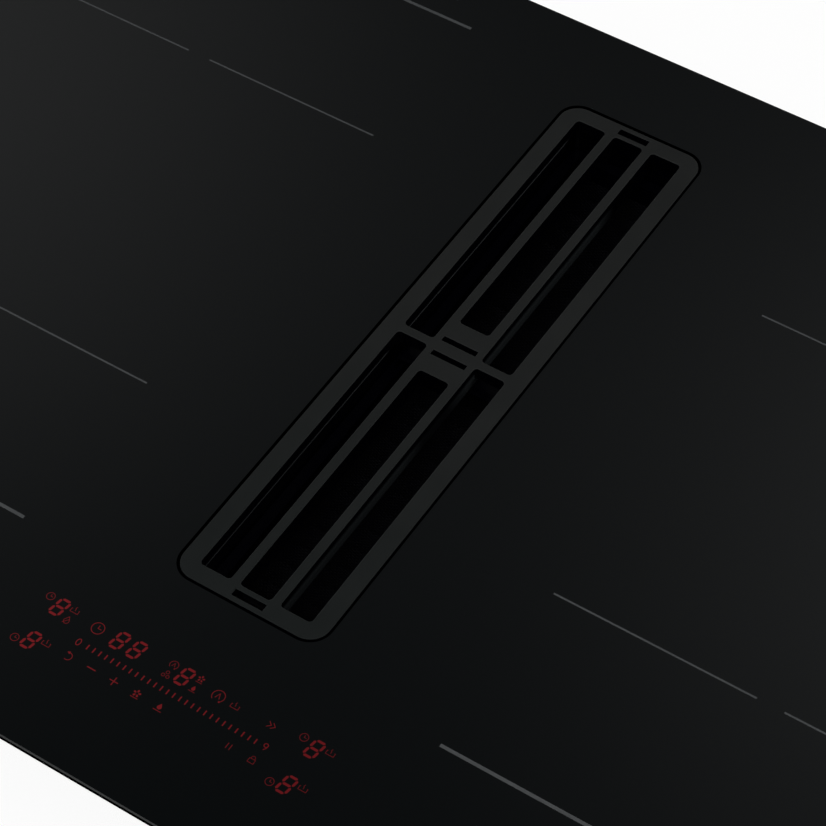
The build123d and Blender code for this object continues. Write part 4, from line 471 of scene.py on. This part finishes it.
def coil_finish(name, colour, pitch):
    """Stranded copper in flat turns that follow the rounded outline of each of the four coils."""
    material, nodes, links, shader = start_material(name)
    x, y, _ = axes(nodes, links, place_node(nodes, links))
    front_low, front_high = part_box("coil_front_right")
    back_low, back_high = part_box("coil_back_right")
    pair_middle = (front_low.y + back_high.y) / 2
    centre = ((front_low.x + front_high.x) / 2, (back_low.y + back_high.y) / 2 - pair_middle)
    half = ((front_high.x - front_low.x) / 2, (front_high.y - front_low.y) / 2)
    past = []
    for place, middle, reach in zip((x, calculated(nodes, links, "SUBTRACT", y, pair_middle)), centre, half):
        folded = calculated(nodes, links, "ABSOLUTE", place)
        away = calculated(nodes, links, "ABSOLUTE", calculated(nodes, links, "SUBTRACT", folded, middle))
        past.append(calculated(nodes, links, "SUBTRACT", away, reach - COIL_CORNER * MM))
    squares = []
    for value in past:
        outside = calculated(nodes, links, "MAXIMUM", value, 0.0)
        squares.append(calculated(nodes, links, "POWER", outside, 2.0))
    round_part = calculated(nodes, links, "SQRT", calculated(nodes, links, "ADD", *squares))
    straight_part = calculated(nodes, links, "MINIMUM", calculated(nodes, links, "MAXIMUM", *past), 0.0)
    wound(nodes, links, shader, calculated(nodes, links, "ADD", round_part, straight_part), colour, pitch)
    return material


# ---------------------------------------------------------------- boards
TRACK_SIZE = 6.0
TRACK_EDGE = (0.36, 0.4)          # where a cell of the pattern turns into its track
TRACK_SHADE = 1.6
TRACK_LIFT = 0.01
TRACK_ROUGHNESS = (0.3, 0.42)
TRACK_DEPTH = 0.03


def board_finish(name, colour):
    """Circuit board: solder resist over faint copper tracks."""
    material, nodes, links, shader = start_material(name)
    tracks = nodes.new("ShaderNodeTexVoronoi")
    tracks.distance = "CHEBYCHEV"
    tracks.inputs["Scale"].default_value = 1.0 / (TRACK_SIZE * MM)
    links.new(place_node(nodes, links), tracks.inputs["Vector"])
    edge = ranged(nodes, links, tracks.outputs["Distance"], 0, 1, *TRACK_EDGE)
    lighter = [min(1.0, channel * TRACK_SHADE + TRACK_LIFT) for channel in colour]
    links.new(mixed(nodes, links, edge, colour, lighter), shader.inputs["Base Color"])
    links.new(between(nodes, links, edge, *TRACK_ROUGHNESS), shader.inputs["Roughness"])
    bumped(nodes, links, edge, TRACK_DEPTH, shader)
    return material


# ---------------------------------------------------------------- panel light
LIT_ALONG = (-75.0, 75.0)         # the light gets weaker along this span
LIT_WEAKEST = 0.73
LIT_UNEVEN = 0.1
LIT_BLOTCH = 2.5
LIT_GROUND = (0.004, 0.001, 0.001)
LIT_ROUGHNESS = 0.05


def lit_finish(name, colour):
    """Light that comes up through the black glass, a little uneven and weaker towards the right."""
    material, nodes, links, shader = start_material(name)
    vector = place_node(nodes, links)
    along = falling(nodes, links, axes(nodes, links, vector)[0], LIT_ALONG)
    uneven = ranged(nodes, links, noise_node(nodes, links, vector, LIT_BLOTCH), -LIT_UNEVEN, LIT_UNEVEN)
    level = calculated(nodes, links, "ADD", along, uneven)
    links.new(mixed(nodes, links, level, shade(colour, LIT_WEAKEST), colour), shader.inputs["Emission Color"])
    shader.inputs["Emission Strength"].default_value = 1.0
    shader.inputs["Base Color"].default_value = (*LIT_GROUND, 1.0)
    shader.inputs["Roughness"].default_value = LIT_ROUGHNESS
    return material


# ---------------------------------------------------------------- materials of the slots
# A black coat, darkened further with painted shade, for the well and what lies in it.
BLACK_WITH_PAINTED_SHADE = (0.0002, 0.0002, 0.0009)
COPPER = (0.55, 0.25, 0.11)
WIRE_PITCH = 1.2
COIL_PITCH = 3.0
MESH_PITCH = 2.2

MATERIALS = {
    "black_glass": glass_finish(),
    "seal_rubber": plain_finish("seal_rubber", (0.03, 0.03, 0.03), 0.7, grain=0.5, depth=0.03),
    "frame_steel": plain_finish("frame_steel", (0.03, 0.03, 0.032), 0.45, grain=0.4, depth=0.02),
    "case_steel": galvanised_finish("case_steel", (0.42, 0.43, 0.44)),
    "bright_steel": plain_finish("bright_steel", (0.6, 0.6, 0.6), 0.3, metallic=1.0, grain=0.3, depth=0.005),
    "grille_coat": grille_finish(
        "grille_coat",
        # the top's tone at the back, and at the front with painted shade
        top=(0.0048, 0.0056, 0.0054),
        shaded_front=(0.0001, 0.0016, 0.0015),
        # painted shade on the slots' walls
        shaded_walls=(0.0, 0.0, 0.0006),
        # the painted highlight line
        edge=(0.046, 0.05, 0.052),
        painted_sheen=(0.0205, 0.0235, 0.0245),
    ),
    "silicone": plain_finish("silicone", (0.03, 0.03, 0.03), 0.6, grain=0.4),
    "black_plastic": plain_finish("black_plastic", (0.012, 0.012, 0.013), 0.5, grain=0.45, depth=0.03),
    "grey_plastic": plain_finish("grey_plastic", (0.12, 0.12, 0.125), 0.5, grain=0.45, depth=0.03),
    "filter_steel": plain_finish("filter_steel", BLACK_WITH_PAINTED_SHADE, 0.3, grain=0.4, depth=0.004, specular=0.1),
    # The filter mesh is black too, darkened with painted shade.
    "filter_mesh": mesh_finish("filter_mesh", (0.0008, 0.0008, 0.0026), MESH_PITCH),
    "aluminium": plain_finish("aluminium", (0.7, 0.71, 0.72), 0.35, metallic=1.0, grain=0.5, depth=0.008,
                              stretch=(0.08, 1, 1)),
    "mica": plain_finish("mica", (0.45, 0.42, 0.36), 0.45, grain=3.0, depth=0.02, spread=0.25, blotch=8.0),
    "copper_winding": wire_finish("copper_winding", COPPER, WIRE_PITCH),
    "ferrite": plain_finish("ferrite", (0.05, 0.05, 0.052), 0.55, grain=0.8, depth=0.04),
    "sensor_ceramic": plain_finish("sensor_ceramic", (0.8, 0.8, 0.78), 0.3, grain=1.0, depth=0.01),
    "board_green": board_finish("board_green", (0.02, 0.12, 0.05)),
    "capacitor_sleeve": plain_finish("capacitor_sleeve", (0.03, 0.03, 0.05), 0.25, grain=1.0, depth=0.01),
    "white_plastic": plain_finish("white_plastic", (0.8, 0.8, 0.78), 0.45, grain=0.5, depth=0.02),
    "display_red": plain_finish("display_red", (0.25, 0.01, 0.01), 0.25, grain=1.0, depth=0.005),
    "fan_black": plain_finish("fan_black", (0.015, 0.015, 0.016), 0.45, grain=0.5, depth=0.02),
    "cup_plastic": plain_finish("cup_plastic", (0.35, 0.37, 0.38), 0.3, grain=0.7, depth=0.01),
    "print_grey": plain_finish("print_grey", (0.041, 0.044, 0.046), 0.5, grain=0.25, depth=0.004,
                               spread=0.08, blotch=3.0),
    "symbol_light": lit_finish("symbol_light", (0.138, 0.0064, 0.0089)),
}

# These nodes get a finish of their own, because their slot's other nodes look different.
COIL_TURNS = coil_finish("coil_turns", COPPER, COIL_PITCH)
OWN_FINISH = {
    "suction_well": plain_finish("well_black", BLACK_WITH_PAINTED_SHADE, 0.3, grain=0.5, depth=0.004, specular=0.08),
    "filter_frame": cassette_finish("cassette_steel", BLACK_WITH_PAINTED_SHADE, (0.028, 0.028, 0.03)),
    "drip_tray": plain_finish("tray_steel", (0.3, 0.3, 0.31), 0.34, metallic=1.0, grain=0.5, depth=0.006,
                              stretch=(1, 0.06, 1)),
    "coil_front_left": COIL_TURNS,
    "coil_front_right": COIL_TURNS,
    "coil_back_left": COIL_TURNS,
    "coil_back_right": COIL_TURNS,
}
for node_name, cad_object in frame["nodes"].items():
    for entry in cad_object.material_slots:
        slot_name = entry.material.name.split(".")[0]
        entry.material = OWN_FINISH.get(node_name, MATERIALS[slot_name])


# ---------------------------------------------------------------- flat print and light on the glass
PRINT_LIFT = 0.02
PRINT_LEVEL = GLASS_TOP + PRINT_LIFT * MM
SHARPEST_MITRE = 0.5              # keeps a stroke's sharp corners from growing into spikes
RING_STEPS = 36


def ribbon(work, path, width, closed=False):
    """A flat stroke of even width along a path of points, in millimetres."""
    count = len(path)
    points = [Vector(point) for point in path]
    rows = []
    for number, point in enumerate(points):
        before = points[number - 1] if number > 0 or closed else None
        after = points[(number + 1) % count] if number < count - 1 or closed else None
        ways = []
        if before is not None:
            ways.append((point - before).normalized())
        if after is not None:
            ways.append((after - point).normalized())
        along = sum(ways, Vector((0, 0))).normalized()
        across = Vector((-along.y, along.x))
        straight = Vector((-ways[0].y, ways[0].x))
        reach = width / 2 / max(SHARPEST_MITRE, across.dot(straight))
        rows.append([work.verts.new((*((point + side_step * reach * across) * MM), PRINT_LEVEL))
                     for side_step in (-1, 1)])
    last = count if closed else count - 1
    for number in range(last):
        first, second = rows[number], rows[(number + 1) % count]
        work.faces.new((first[0], second[0], second[1], first[1]))


def patch(work, outline):
    """A flat filled outline, in millimetres."""
    work.faces.new([work.verts.new((x * MM, y * MM, PRINT_LEVEL)) for x, y in outline])


def shifted(centre, points):
    """The points, drawn about the centre."""
    return [(centre[0] + x, centre[1] + y) for x, y in points]


def arc(centre, radius, start, end, steps):
    """Points on an arc, angles in degrees."""
    turns = [math.radians(start + (end - start) * number / steps) for number in range(steps + 1)]
    return shifted(centre, [(radius * math.cos(turn), radius * math.sin(turn)) for turn in turns])


def circle(centre, radius, steps):
    """Points round a whole circle."""
    return arc(centre, radius, 0, 360, steps)[:-1]


def ring(work, centre, radius, width):
    """A closed circle."""
    ribbon(work, circle(centre, radius, RING_STEPS), width, closed=True)


def flat_piece(name, work, material):
    """Turns the flat work into an object that rides on the base."""
    mesh = bpy.data.meshes.new(name)
    bmesh.ops.recalc_face_normals(work, faces=work.faces)
    for face in work.faces:
        if face.normal.z < 0:
            face.normal_flip()
    work.to_mesh(mesh)
    work.free()
    piece = bpy.data.objects.new(name, mesh)
    bpy.context.scene.collection.objects.link(piece)
    piece.data.materials.append(MATERIALS[material])
    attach(piece, "base")


# ---------------------------------------------------------------- zone marks
ZONE_INNER_X = 111.8
ZONE_OUTER_X = 329.2
ZONE_GAP = (213.9, 227.3)
THIN_LINES = (128.0, -66.05)
THICK_LINES = (221.5, -159.8)
THIN_WIDTH = 0.95
THICK_WIDTH = 1.75

work = bmesh.new()
for side_sign in (-1, 1):
    for y in THIN_LINES:
        for start, end in ((ZONE_INNER_X, ZONE_GAP[0]), (ZONE_GAP[1], ZONE_OUTER_X)):
            ribbon(work, [(side_sign * start, y), (side_sign * end, y)], THIN_WIDTH)
    for y in THICK_LINES:
        ribbon(work, [(side_sign * ZONE_INNER_X, y), (side_sign * ZONE_OUTER_X, y)], THICK_WIDTH)
flat_piece("zone_marks", work, "print_grey")


# ---------------------------------------------------------------- digits
# Seven-segment digits, all segments lit, leaning to the right.
DIGIT_HEIGHT = 10.0
DIGIT_WIDTH = 6.1
DIGIT_STROKE = 1.22
DIGIT_LEAN = math.tan(math.radians(9.0))
DIGIT_GAP = 0.35
DIGIT_BACK_ROW = -190.6
DIGIT_FRONT_ROW = -211.4
ZONE_DIGIT_X = 67.95
DIGIT_PLACES = (
    (-ZONE_DIGIT_X, DIGIT_BACK_ROW),
    (-ZONE_DIGIT_X, DIGIT_FRONT_ROW),
    (-34.9, DIGIT_BACK_ROW),
    (-25.75, DIGIT_BACK_ROW),
    (0.0, DIGIT_BACK_ROW),
    (ZONE_DIGIT_X, DIGIT_BACK_ROW),
    (ZONE_DIGIT_X, DIGIT_FRONT_ROW),
)


def digit(work, centre):
    """One figure eight made of seven bars with pointed ends."""
    half_x = (DIGIT_WIDTH - DIGIT_STROKE) / 2
    half_y = (DIGIT_HEIGHT - DIGIT_STROKE) / 2
    tip = DIGIT_STROKE / 2

    def bar(start, end):
        along = (Vector(end) - Vector(start)).normalized()
        across = Vector((-along.y, along.x)) * tip
        first = Vector(start) + along * DIGIT_GAP
        last = Vector(end) - along * DIGIT_GAP
        corners = [first, first + along * tip + across, last - along * tip + across,
                   last, last - along * tip - across, first + along * tip - across]
        patch(work, shifted(centre, [(corner.x + corner.y * DIGIT_LEAN, corner.y) for corner in corners]))

    for y in (-half_y, 0, half_y):
        bar((-half_x, y), (half_x, y))
    for x in (-half_x, half_x):
        bar((x, -half_y), (x, 0))
        bar((x, 0), (x, half_y))


work = bmesh.new()
for place in DIGIT_PLACES:
    digit(work, place)
flat_piece("panel_digits", work, "symbol_light")


# ---------------------------------------------------------------- slider
# A row of ticks between two plain figures.
TICK_START = -44.7
TICK_PITCH = 3.31
TICK_COUNT = 28
TICK_ENDS = (-199.55, -202.25)
TICK_STROKE = 0.64
SLIDER_MIDDLE = -200.9
FIGURE_STROKE = 0.42
NOUGHT_PLACE = (-49.7, SLIDER_MIDDLE)
NOUGHT_HALF_HEIGHT = 1.7
NINE_HEAD = (49.7, SLIDER_MIDDLE + 0.75)
NINE_RADIUS = 0.95
NINE_TAIL = ((NINE_RADIUS, -0.2), (0.75, -1.3), (-0.1, -2.5))

work = bmesh.new()
for number in range(TICK_COUNT):
    x = TICK_START + number * TICK_PITCH
    ribbon(work, [(x, y) for y in TICK_ENDS], TICK_STROKE)
nought = shifted(NOUGHT_PLACE, [(x, NOUGHT_HALF_HEIGHT * y) for x, y in circle((0, 0), 1.0, 32)])
ribbon(work, nought, FIGURE_STROKE, closed=True)
ring(work, NINE_HEAD, NINE_RADIUS, FIGURE_STROKE)
ribbon(work, shifted(NINE_HEAD, NINE_TAIL), FIGURE_STROKE)
flat_piece("panel_slider", work, "symbol_light")


# ---------------------------------------------------------------- symbols
FINE = 0.26
MEDIUM = 0.36
BOLD = 0.55


# In shares of the symbol's radius.
HAND_UP = 0.58
HAND_RIGHT = 0.6
DROP_TIP = 1.9
PETAL_MIDDLE = 0.62
PETAL_HALF_LENGTH = 0.36
PETAL_HALF_WIDTH = 0.24
PETAL_FLARE = 0.35                # how much wider a petal gets towards its end
PEAK_TOP = 0.5
PEAK_FOOT = (0.36, -0.42)
# In degrees, from a start to an end.
DROP_ARC = (25, -205)
CYCLE_ARC = (-52, 232)
PETAL_COUNT = 5
CYCLE_KNOB = 1.3                  # the knob's radius in strokes


def clock(work, centre, radius, stroke):
    """A dial with its hands up and right."""
    ring(work, centre, radius, stroke)
    ribbon(work, shifted(centre, [(0, radius * HAND_UP), (0, 0), (radius * HAND_RIGHT, 0)]), stroke)


PAN_WIDTH = 4.0
PAN_HEIGHT = 1.8
PAN_LIP = 0.45
PAN_TRAY = ((PAN_LIP, PAN_HEIGHT), (0, PAN_HEIGHT), (0, 0), (PAN_WIDTH, 0), (PAN_WIDTH, PAN_HEIGHT),
            (PAN_WIDTH - PAN_LIP, PAN_HEIGHT))
PAN_STEAM = ((-0.1, 3.3), (-0.35, 2.4), (0.0, 1.9), (0.05, 1.0))


def pan(work, corner):
    """An open tray, drawn from its lower left corner, with a wisp of steam over it."""
    ribbon(work, shifted(corner, PAN_TRAY), FINE)
    ribbon(work, shifted((corner[0] + PAN_WIDTH / 2, corner[1]), PAN_STEAM), FINE)


def drop_outline(centre, radius):
    """A drop with its tip up."""
    return [(centre[0], centre[1] + radius * DROP_TIP)] + arc(centre, radius, *DROP_ARC, 18)


def petals(work, centre, radius):
    """Separate petals round a centre, each wider towards its end."""
    for number in range(PETAL_COUNT):
        turn = math.radians(90 + number * 360 / PETAL_COUNT)
        leaf = []
        for along, across in circle((0, 0), 1.0, 14):
            outward = radius * (PETAL_MIDDLE + PETAL_HALF_LENGTH * along)
            sideways = radius * PETAL_HALF_WIDTH * across * (1.0 + PETAL_FLARE * along)
            leaf.append((outward * math.cos(turn) - sideways * math.sin(turn),
                         outward * math.sin(turn) + sideways * math.cos(turn)))
        patch(work, shifted(centre, leaf))


def underline(work, centre, half, stroke=FINE):
    """A short level stroke."""
    ribbon(work, shifted(centre, [(-half, 0), (half, 0)]), stroke)


def cycle(work, centre, radius, stroke):
    """An open ring that ends in a knob, with a small peak in it: the automatic setting."""
    line = arc(centre, radius, *CYCLE_ARC, 30)
    ribbon(work, line, stroke)
    patch(work, circle(line[0], stroke * CYCLE_KNOB, 12))
    foot_x, foot_y = (radius * share for share in PEAK_FOOT)
    ribbon(work, shifted(centre, [(-foot_x, foot_y), (0, radius * PEAK_TOP), (foot_x, foot_y)]), stroke)


def cross(work, centre, reach, half):
    """A plus sign as one outline."""
    outline = []
    for number in range(4):
        turn = -math.pi / 2 * number
        outline += [(x * math.cos(turn) - y * math.sin(turn), x * math.sin(turn) + y * math.cos(turn))
                    for x, y in ((-half, reach), (half, reach), (half, half))]
    patch(work, shifted(centre, outline))


def blades(work, centre, reach, radius):
    """Three loops round a centre."""
    for angle in (90, 210, 330):
        turn = math.radians(angle)
        place = (centre[0] + reach * math.cos(turn), centre[1] + reach * math.sin(turn))
        ring(work, place, radius, FINE)


# Where the symbols are. Those without a centre are given as the points of their strokes.
SMALL_CLOCKS = ((-74.9, -188.0), (-74.9, -214.0), (61.0, -188.0), (61.0, -214.0))
SMALL_CLOCK_RADIUS = 1.95
TIMER_CLOCK = (-46.9, -190.55)
TIMER_CLOCK_RADIUS = 3.0
PAN_CORNERS = ((-63.1, -189.65), (-63.1, -210.4), (72.9, -189.65), (72.9, -210.4), (25.15, -192.3))
STRUCK_DROP = (-61.1, -194.9)
STRUCK_DROP_RADIUS = 1.35
STRUCK_DROP_LINE = ((-62.5, -196.3), (-60.2, -193.5))
FAN_X = -7.4
FAN_CYCLE = (FAN_X, -188.1)
FAN_CYCLE_RADIUS = 2.05
FAN_BLADES = (FAN_X, -194.0)
FAN_REACH = 1.35
FAN_LOOP_RADIUS = 0.75
HEAT_CYCLE = (18.15, -190.8)
HEAT_CYCLE_RADIUS = 3.0
FILTER_X = 6.8
FILTER_PETALS = (FILTER_X, -187.6)
FILTER_PETALS_RADIUS = 1.75
FILTER_PETALS_LINE = (FILTER_X, -189.7)
FILTER_PETALS_HALF = 1.65
FILTER_DROP = (FILTER_X, -193.7)
FILTER_DROP_RADIUS = 0.9
FILTER_DROP_LINE = (FILTER_X, -195.1)
FILTER_DROP_HALF = 1.7
KEY_LINE_Y = -211.05
KEY_PETALS = (-12.3, -208.7)
KEY_PETALS_RADIUS = 2.0
KEY_PETALS_HALF = 1.95
KEY_DROP = (0.0, -209.2)
KEY_DROP_RADIUS = 1.1
KEY_DROP_HALF = 2.05
FORWARD_PLACES = ((44.0, -190.65), (46.05, -190.65))
FORWARD_ARROW = ((0, 1.55), (1.75, 0), (0, -1.55))
BACK_CENTRE = (-49.1, -209.4)
BACK_RADIUS = 1.9
BACK_ARC = (95, -115)
BACK_HEAD = ((-50.8, -207.5), (-49.3, -206.75), (-49.3, -208.25))
MINUS = (-36.6, -209.1)
PLUS = (-24.45, -209.1)
SIGN_REACH = 2.3
PLUS_REACH = 2.25
PLUS_HALF_STROKE = 0.24
PAUSE_BARS_X = (35.6, 37.4)
PAUSE_BARS_Y = (-207.6, -210.6)
LOCK_BODY = ((47.2, -208.8), (50.2, -208.8), (50.2, -210.9), (47.2, -210.9))
LOCK_SHACKLE = (48.7, -208.2)
LOCK_SHACKLE_RADIUS = 0.9
LOCK_SHACKLE_FOOT = -208.8

work = bmesh.new()
for place in SMALL_CLOCKS:
    clock(work, place, SMALL_CLOCK_RADIUS, FINE)
clock(work, TIMER_CLOCK, TIMER_CLOCK_RADIUS, MEDIUM)
for corner in PAN_CORNERS:
    pan(work, corner)
ribbon(work, drop_outline(STRUCK_DROP, STRUCK_DROP_RADIUS), FINE, closed=True)
ribbon(work, STRUCK_DROP_LINE, FINE)
cycle(work, FAN_CYCLE, FAN_CYCLE_RADIUS, FINE)
cycle(work, HEAT_CYCLE, HEAT_CYCLE_RADIUS, MEDIUM)
blades(work, FAN_BLADES, FAN_REACH, FAN_LOOP_RADIUS)
petals(work, FILTER_PETALS, FILTER_PETALS_RADIUS)
underline(work, FILTER_PETALS_LINE, FILTER_PETALS_HALF)
patch(work, drop_outline(FILTER_DROP, FILTER_DROP_RADIUS))
underline(work, FILTER_DROP_LINE, FILTER_DROP_HALF)
petals(work, KEY_PETALS, KEY_PETALS_RADIUS)
underline(work, (KEY_PETALS[0], KEY_LINE_Y), KEY_PETALS_HALF, MEDIUM)
patch(work, drop_outline(KEY_DROP, KEY_DROP_RADIUS))
underline(work, (KEY_DROP[0], KEY_LINE_Y), KEY_DROP_HALF, MEDIUM)
for place in FORWARD_PLACES:
    ribbon(work, shifted(place, FORWARD_ARROW), MEDIUM)
ribbon(work, arc(BACK_CENTRE, BACK_RADIUS, *BACK_ARC, 20), MEDIUM)
patch(work, BACK_HEAD)
underline(work, MINUS, SIGN_REACH, BOLD)
cross(work, PLUS, PLUS_REACH, PLUS_HALF_STROKE)
for x in PAUSE_BARS_X:
    ribbon(work, [(x, y) for y in PAUSE_BARS_Y], MEDIUM)
ribbon(work, LOCK_BODY, FINE, closed=True)
shackle = arc(LOCK_SHACKLE, LOCK_SHACKLE_RADIUS, 180, 0, 12)
left_foot = (LOCK_SHACKLE[0] - LOCK_SHACKLE_RADIUS, LOCK_SHACKLE_FOOT)
right_foot = (LOCK_SHACKLE[0] + LOCK_SHACKLE_RADIUS, LOCK_SHACKLE_FOOT)
ribbon(work, [left_foot] + shackle + [right_foot], FINE)
flat_piece("panel_symbols", work, "symbol_light")


# ---------------------------------------------------------------- floor, backdrop, lamps and sky
STAGE_RADIUS = 6.5
STAGE_HEIGHT = 2.4
STAGE_STEPS = 96
STAGE_GREY = (0.8, 0.8, 0.8)         # for light that bounces
STAGE_SHADOW = (0.12, 0.12, 0.12)    # for what is seen, under the glow
STAGE_GLOW = 0.9


def stage_finish():
    """Pale ground that looks white where it is seen, and keeps the object's shadow. Its back is clear."""
    material, nodes, links, shader = start_material("stage_white")
    nodes.remove(shader)
    output = nodes["Material Output"]
    ray = nodes.new("ShaderNodeLightPath")
    seen = calculated(nodes, links, "MAXIMUM", ray.outputs["Is Camera Ray"], ray.outputs["Is Glossy Ray"])
    shown = calculated(nodes, links, "MAXIMUM", seen, ray.outputs["Is Transmission Ray"])
    plain = nodes.new("ShaderNodeBsdfDiffuse")
    plain.inputs["Color"].default_value = (*STAGE_GREY, 1.0)
    faint = nodes.new("ShaderNodeBsdfDiffuse")
    faint.inputs["Color"].default_value = (*STAGE_SHADOW, 1.0)
    glow = nodes.new("ShaderNodeEmission")
    glow.inputs["Strength"].default_value = STAGE_GLOW
    together = nodes.new("ShaderNodeAddShader")
    links.new(faint.outputs["BSDF"], together.inputs[0])
    links.new(glow.outputs["Emission"], together.inputs[1])
    choice = nodes.new("ShaderNodeMixShader")
    links.new(shown, choice.inputs["Fac"])
    links.new(plain.outputs["BSDF"], choice.inputs[1])
    links.new(together.outputs["Shader"], choice.inputs[2])
    below = nodes.new("ShaderNodeNewGeometry")
    clear = nodes.new("ShaderNodeBsdfTransparent")
    open_back = nodes.new("ShaderNodeMixShader")
    links.new(below.outputs["Backfacing"], open_back.inputs["Fac"])
    links.new(choice.outputs["Shader"], open_back.inputs[1])
    links.new(clear.outputs["BSDF"], open_back.inputs[2])
    links.new(open_back.outputs["Shader"], output.inputs["Surface"])
    return material


stage_mesh = bpy.data.meshes.new("stage")
work = bmesh.new()
floor_ring = []
wall_ring = []
for number in range(STAGE_STEPS):
    turn = 2 * math.pi * number / STAGE_STEPS
    x, y = STAGE_RADIUS * math.cos(turn), STAGE_RADIUS * math.sin(turn)
    floor_ring.append(work.verts.new((x, y, FLOOR_LEVEL)))
    wall_ring.append(work.verts.new((x, y, FLOOR_LEVEL + STAGE_HEIGHT)))
work.faces.new(floor_ring)
for number in range(STAGE_STEPS):
    after = (number + 1) % STAGE_STEPS
    work.faces.new((floor_ring[after], floor_ring[number], wall_ring[number], wall_ring[after]))
work.to_mesh(stage_mesh)
work.free()
stage = bpy.data.objects.new("stage", stage_mesh)
stage.data.materials.append(stage_finish())
bpy.context.scene.collection.objects.link(stage)

# Each lamp's name, azimuth, elevation, distance, size and power.
LAMPS = (
    ("lamp_front", -70, 58, 2.6, 1.4, 42.0),
    ("lamp_left", -155, 48, 2.8, 1.4, 22.0),
    ("lamp_right", 25, 45, 2.8, 1.2, 24.0),
)


def direction_of(azimuth, elevation):
    """The way towards a place in the sky. Azimuth 0 is +X, 90 is +Y."""
    turn, lift = math.radians(azimuth), math.radians(elevation)
    return Vector((math.cos(lift) * math.cos(turn), math.cos(lift) * math.sin(turn), math.sin(lift)))


def lamp(name, azimuth, elevation, distance, size, power):
    """A round soft lamp that faces the object."""
    data = bpy.data.lights.new(name, "AREA")
    data.shape = "DISK"
    data.size = size
    data.energy = power
    piece = bpy.data.objects.new(name, data)
    way = direction_of(azimuth, elevation)
    piece.location = way * distance
    piece.rotation_mode = "QUATERNION"
    piece.rotation_quaternion = way.to_track_quat("Z", "Y")
    bpy.context.scene.collection.objects.link(piece)


for lamp_values in LAMPS:
    lamp(*lamp_values)

# The glass mirrors a dim room with two broad soft lights, which give it its slow change of tone.
# Each light's azimuth, elevation, sharpness and strength.
SKY_BASE = 0.024
SKY_LIGHTS = (
    (138.4, 42.3, 67.0, 0.309),
    (100.4, 51.9, 68.0, 0.273),
)

world = bpy.data.worlds.new("world")
bpy.context.scene.world = world
world.use_nodes = True
nodes, links = world.node_tree.nodes, world.node_tree.links
direction = nodes.new("ShaderNodeTexCoord").outputs["Generated"]
brightness = SKY_BASE
for azimuth, elevation, sharpness, strength in SKY_LIGHTS:
    near = nodes.new("ShaderNodeVectorMath")
    near.operation = "DOT_PRODUCT"
    near.inputs[1].default_value = direction_of(azimuth, elevation)
    links.new(direction, near.inputs[0])
    fall = calculated(nodes, links, "MULTIPLY_ADD", near.outputs["Value"], sharpness, -sharpness)
    glow = calculated(nodes, links, "EXPONENT", fall)
    brightness = calculated(nodes, links, "MULTIPLY_ADD", glow, strength, brightness)
sky = nodes["Background"]
sky.inputs["Color"].default_value = (*WHITE, 1.0)
links.new(brightness, sky.inputs["Strength"])

bpy.context.scene.view_settings.view_transform = "Standard"
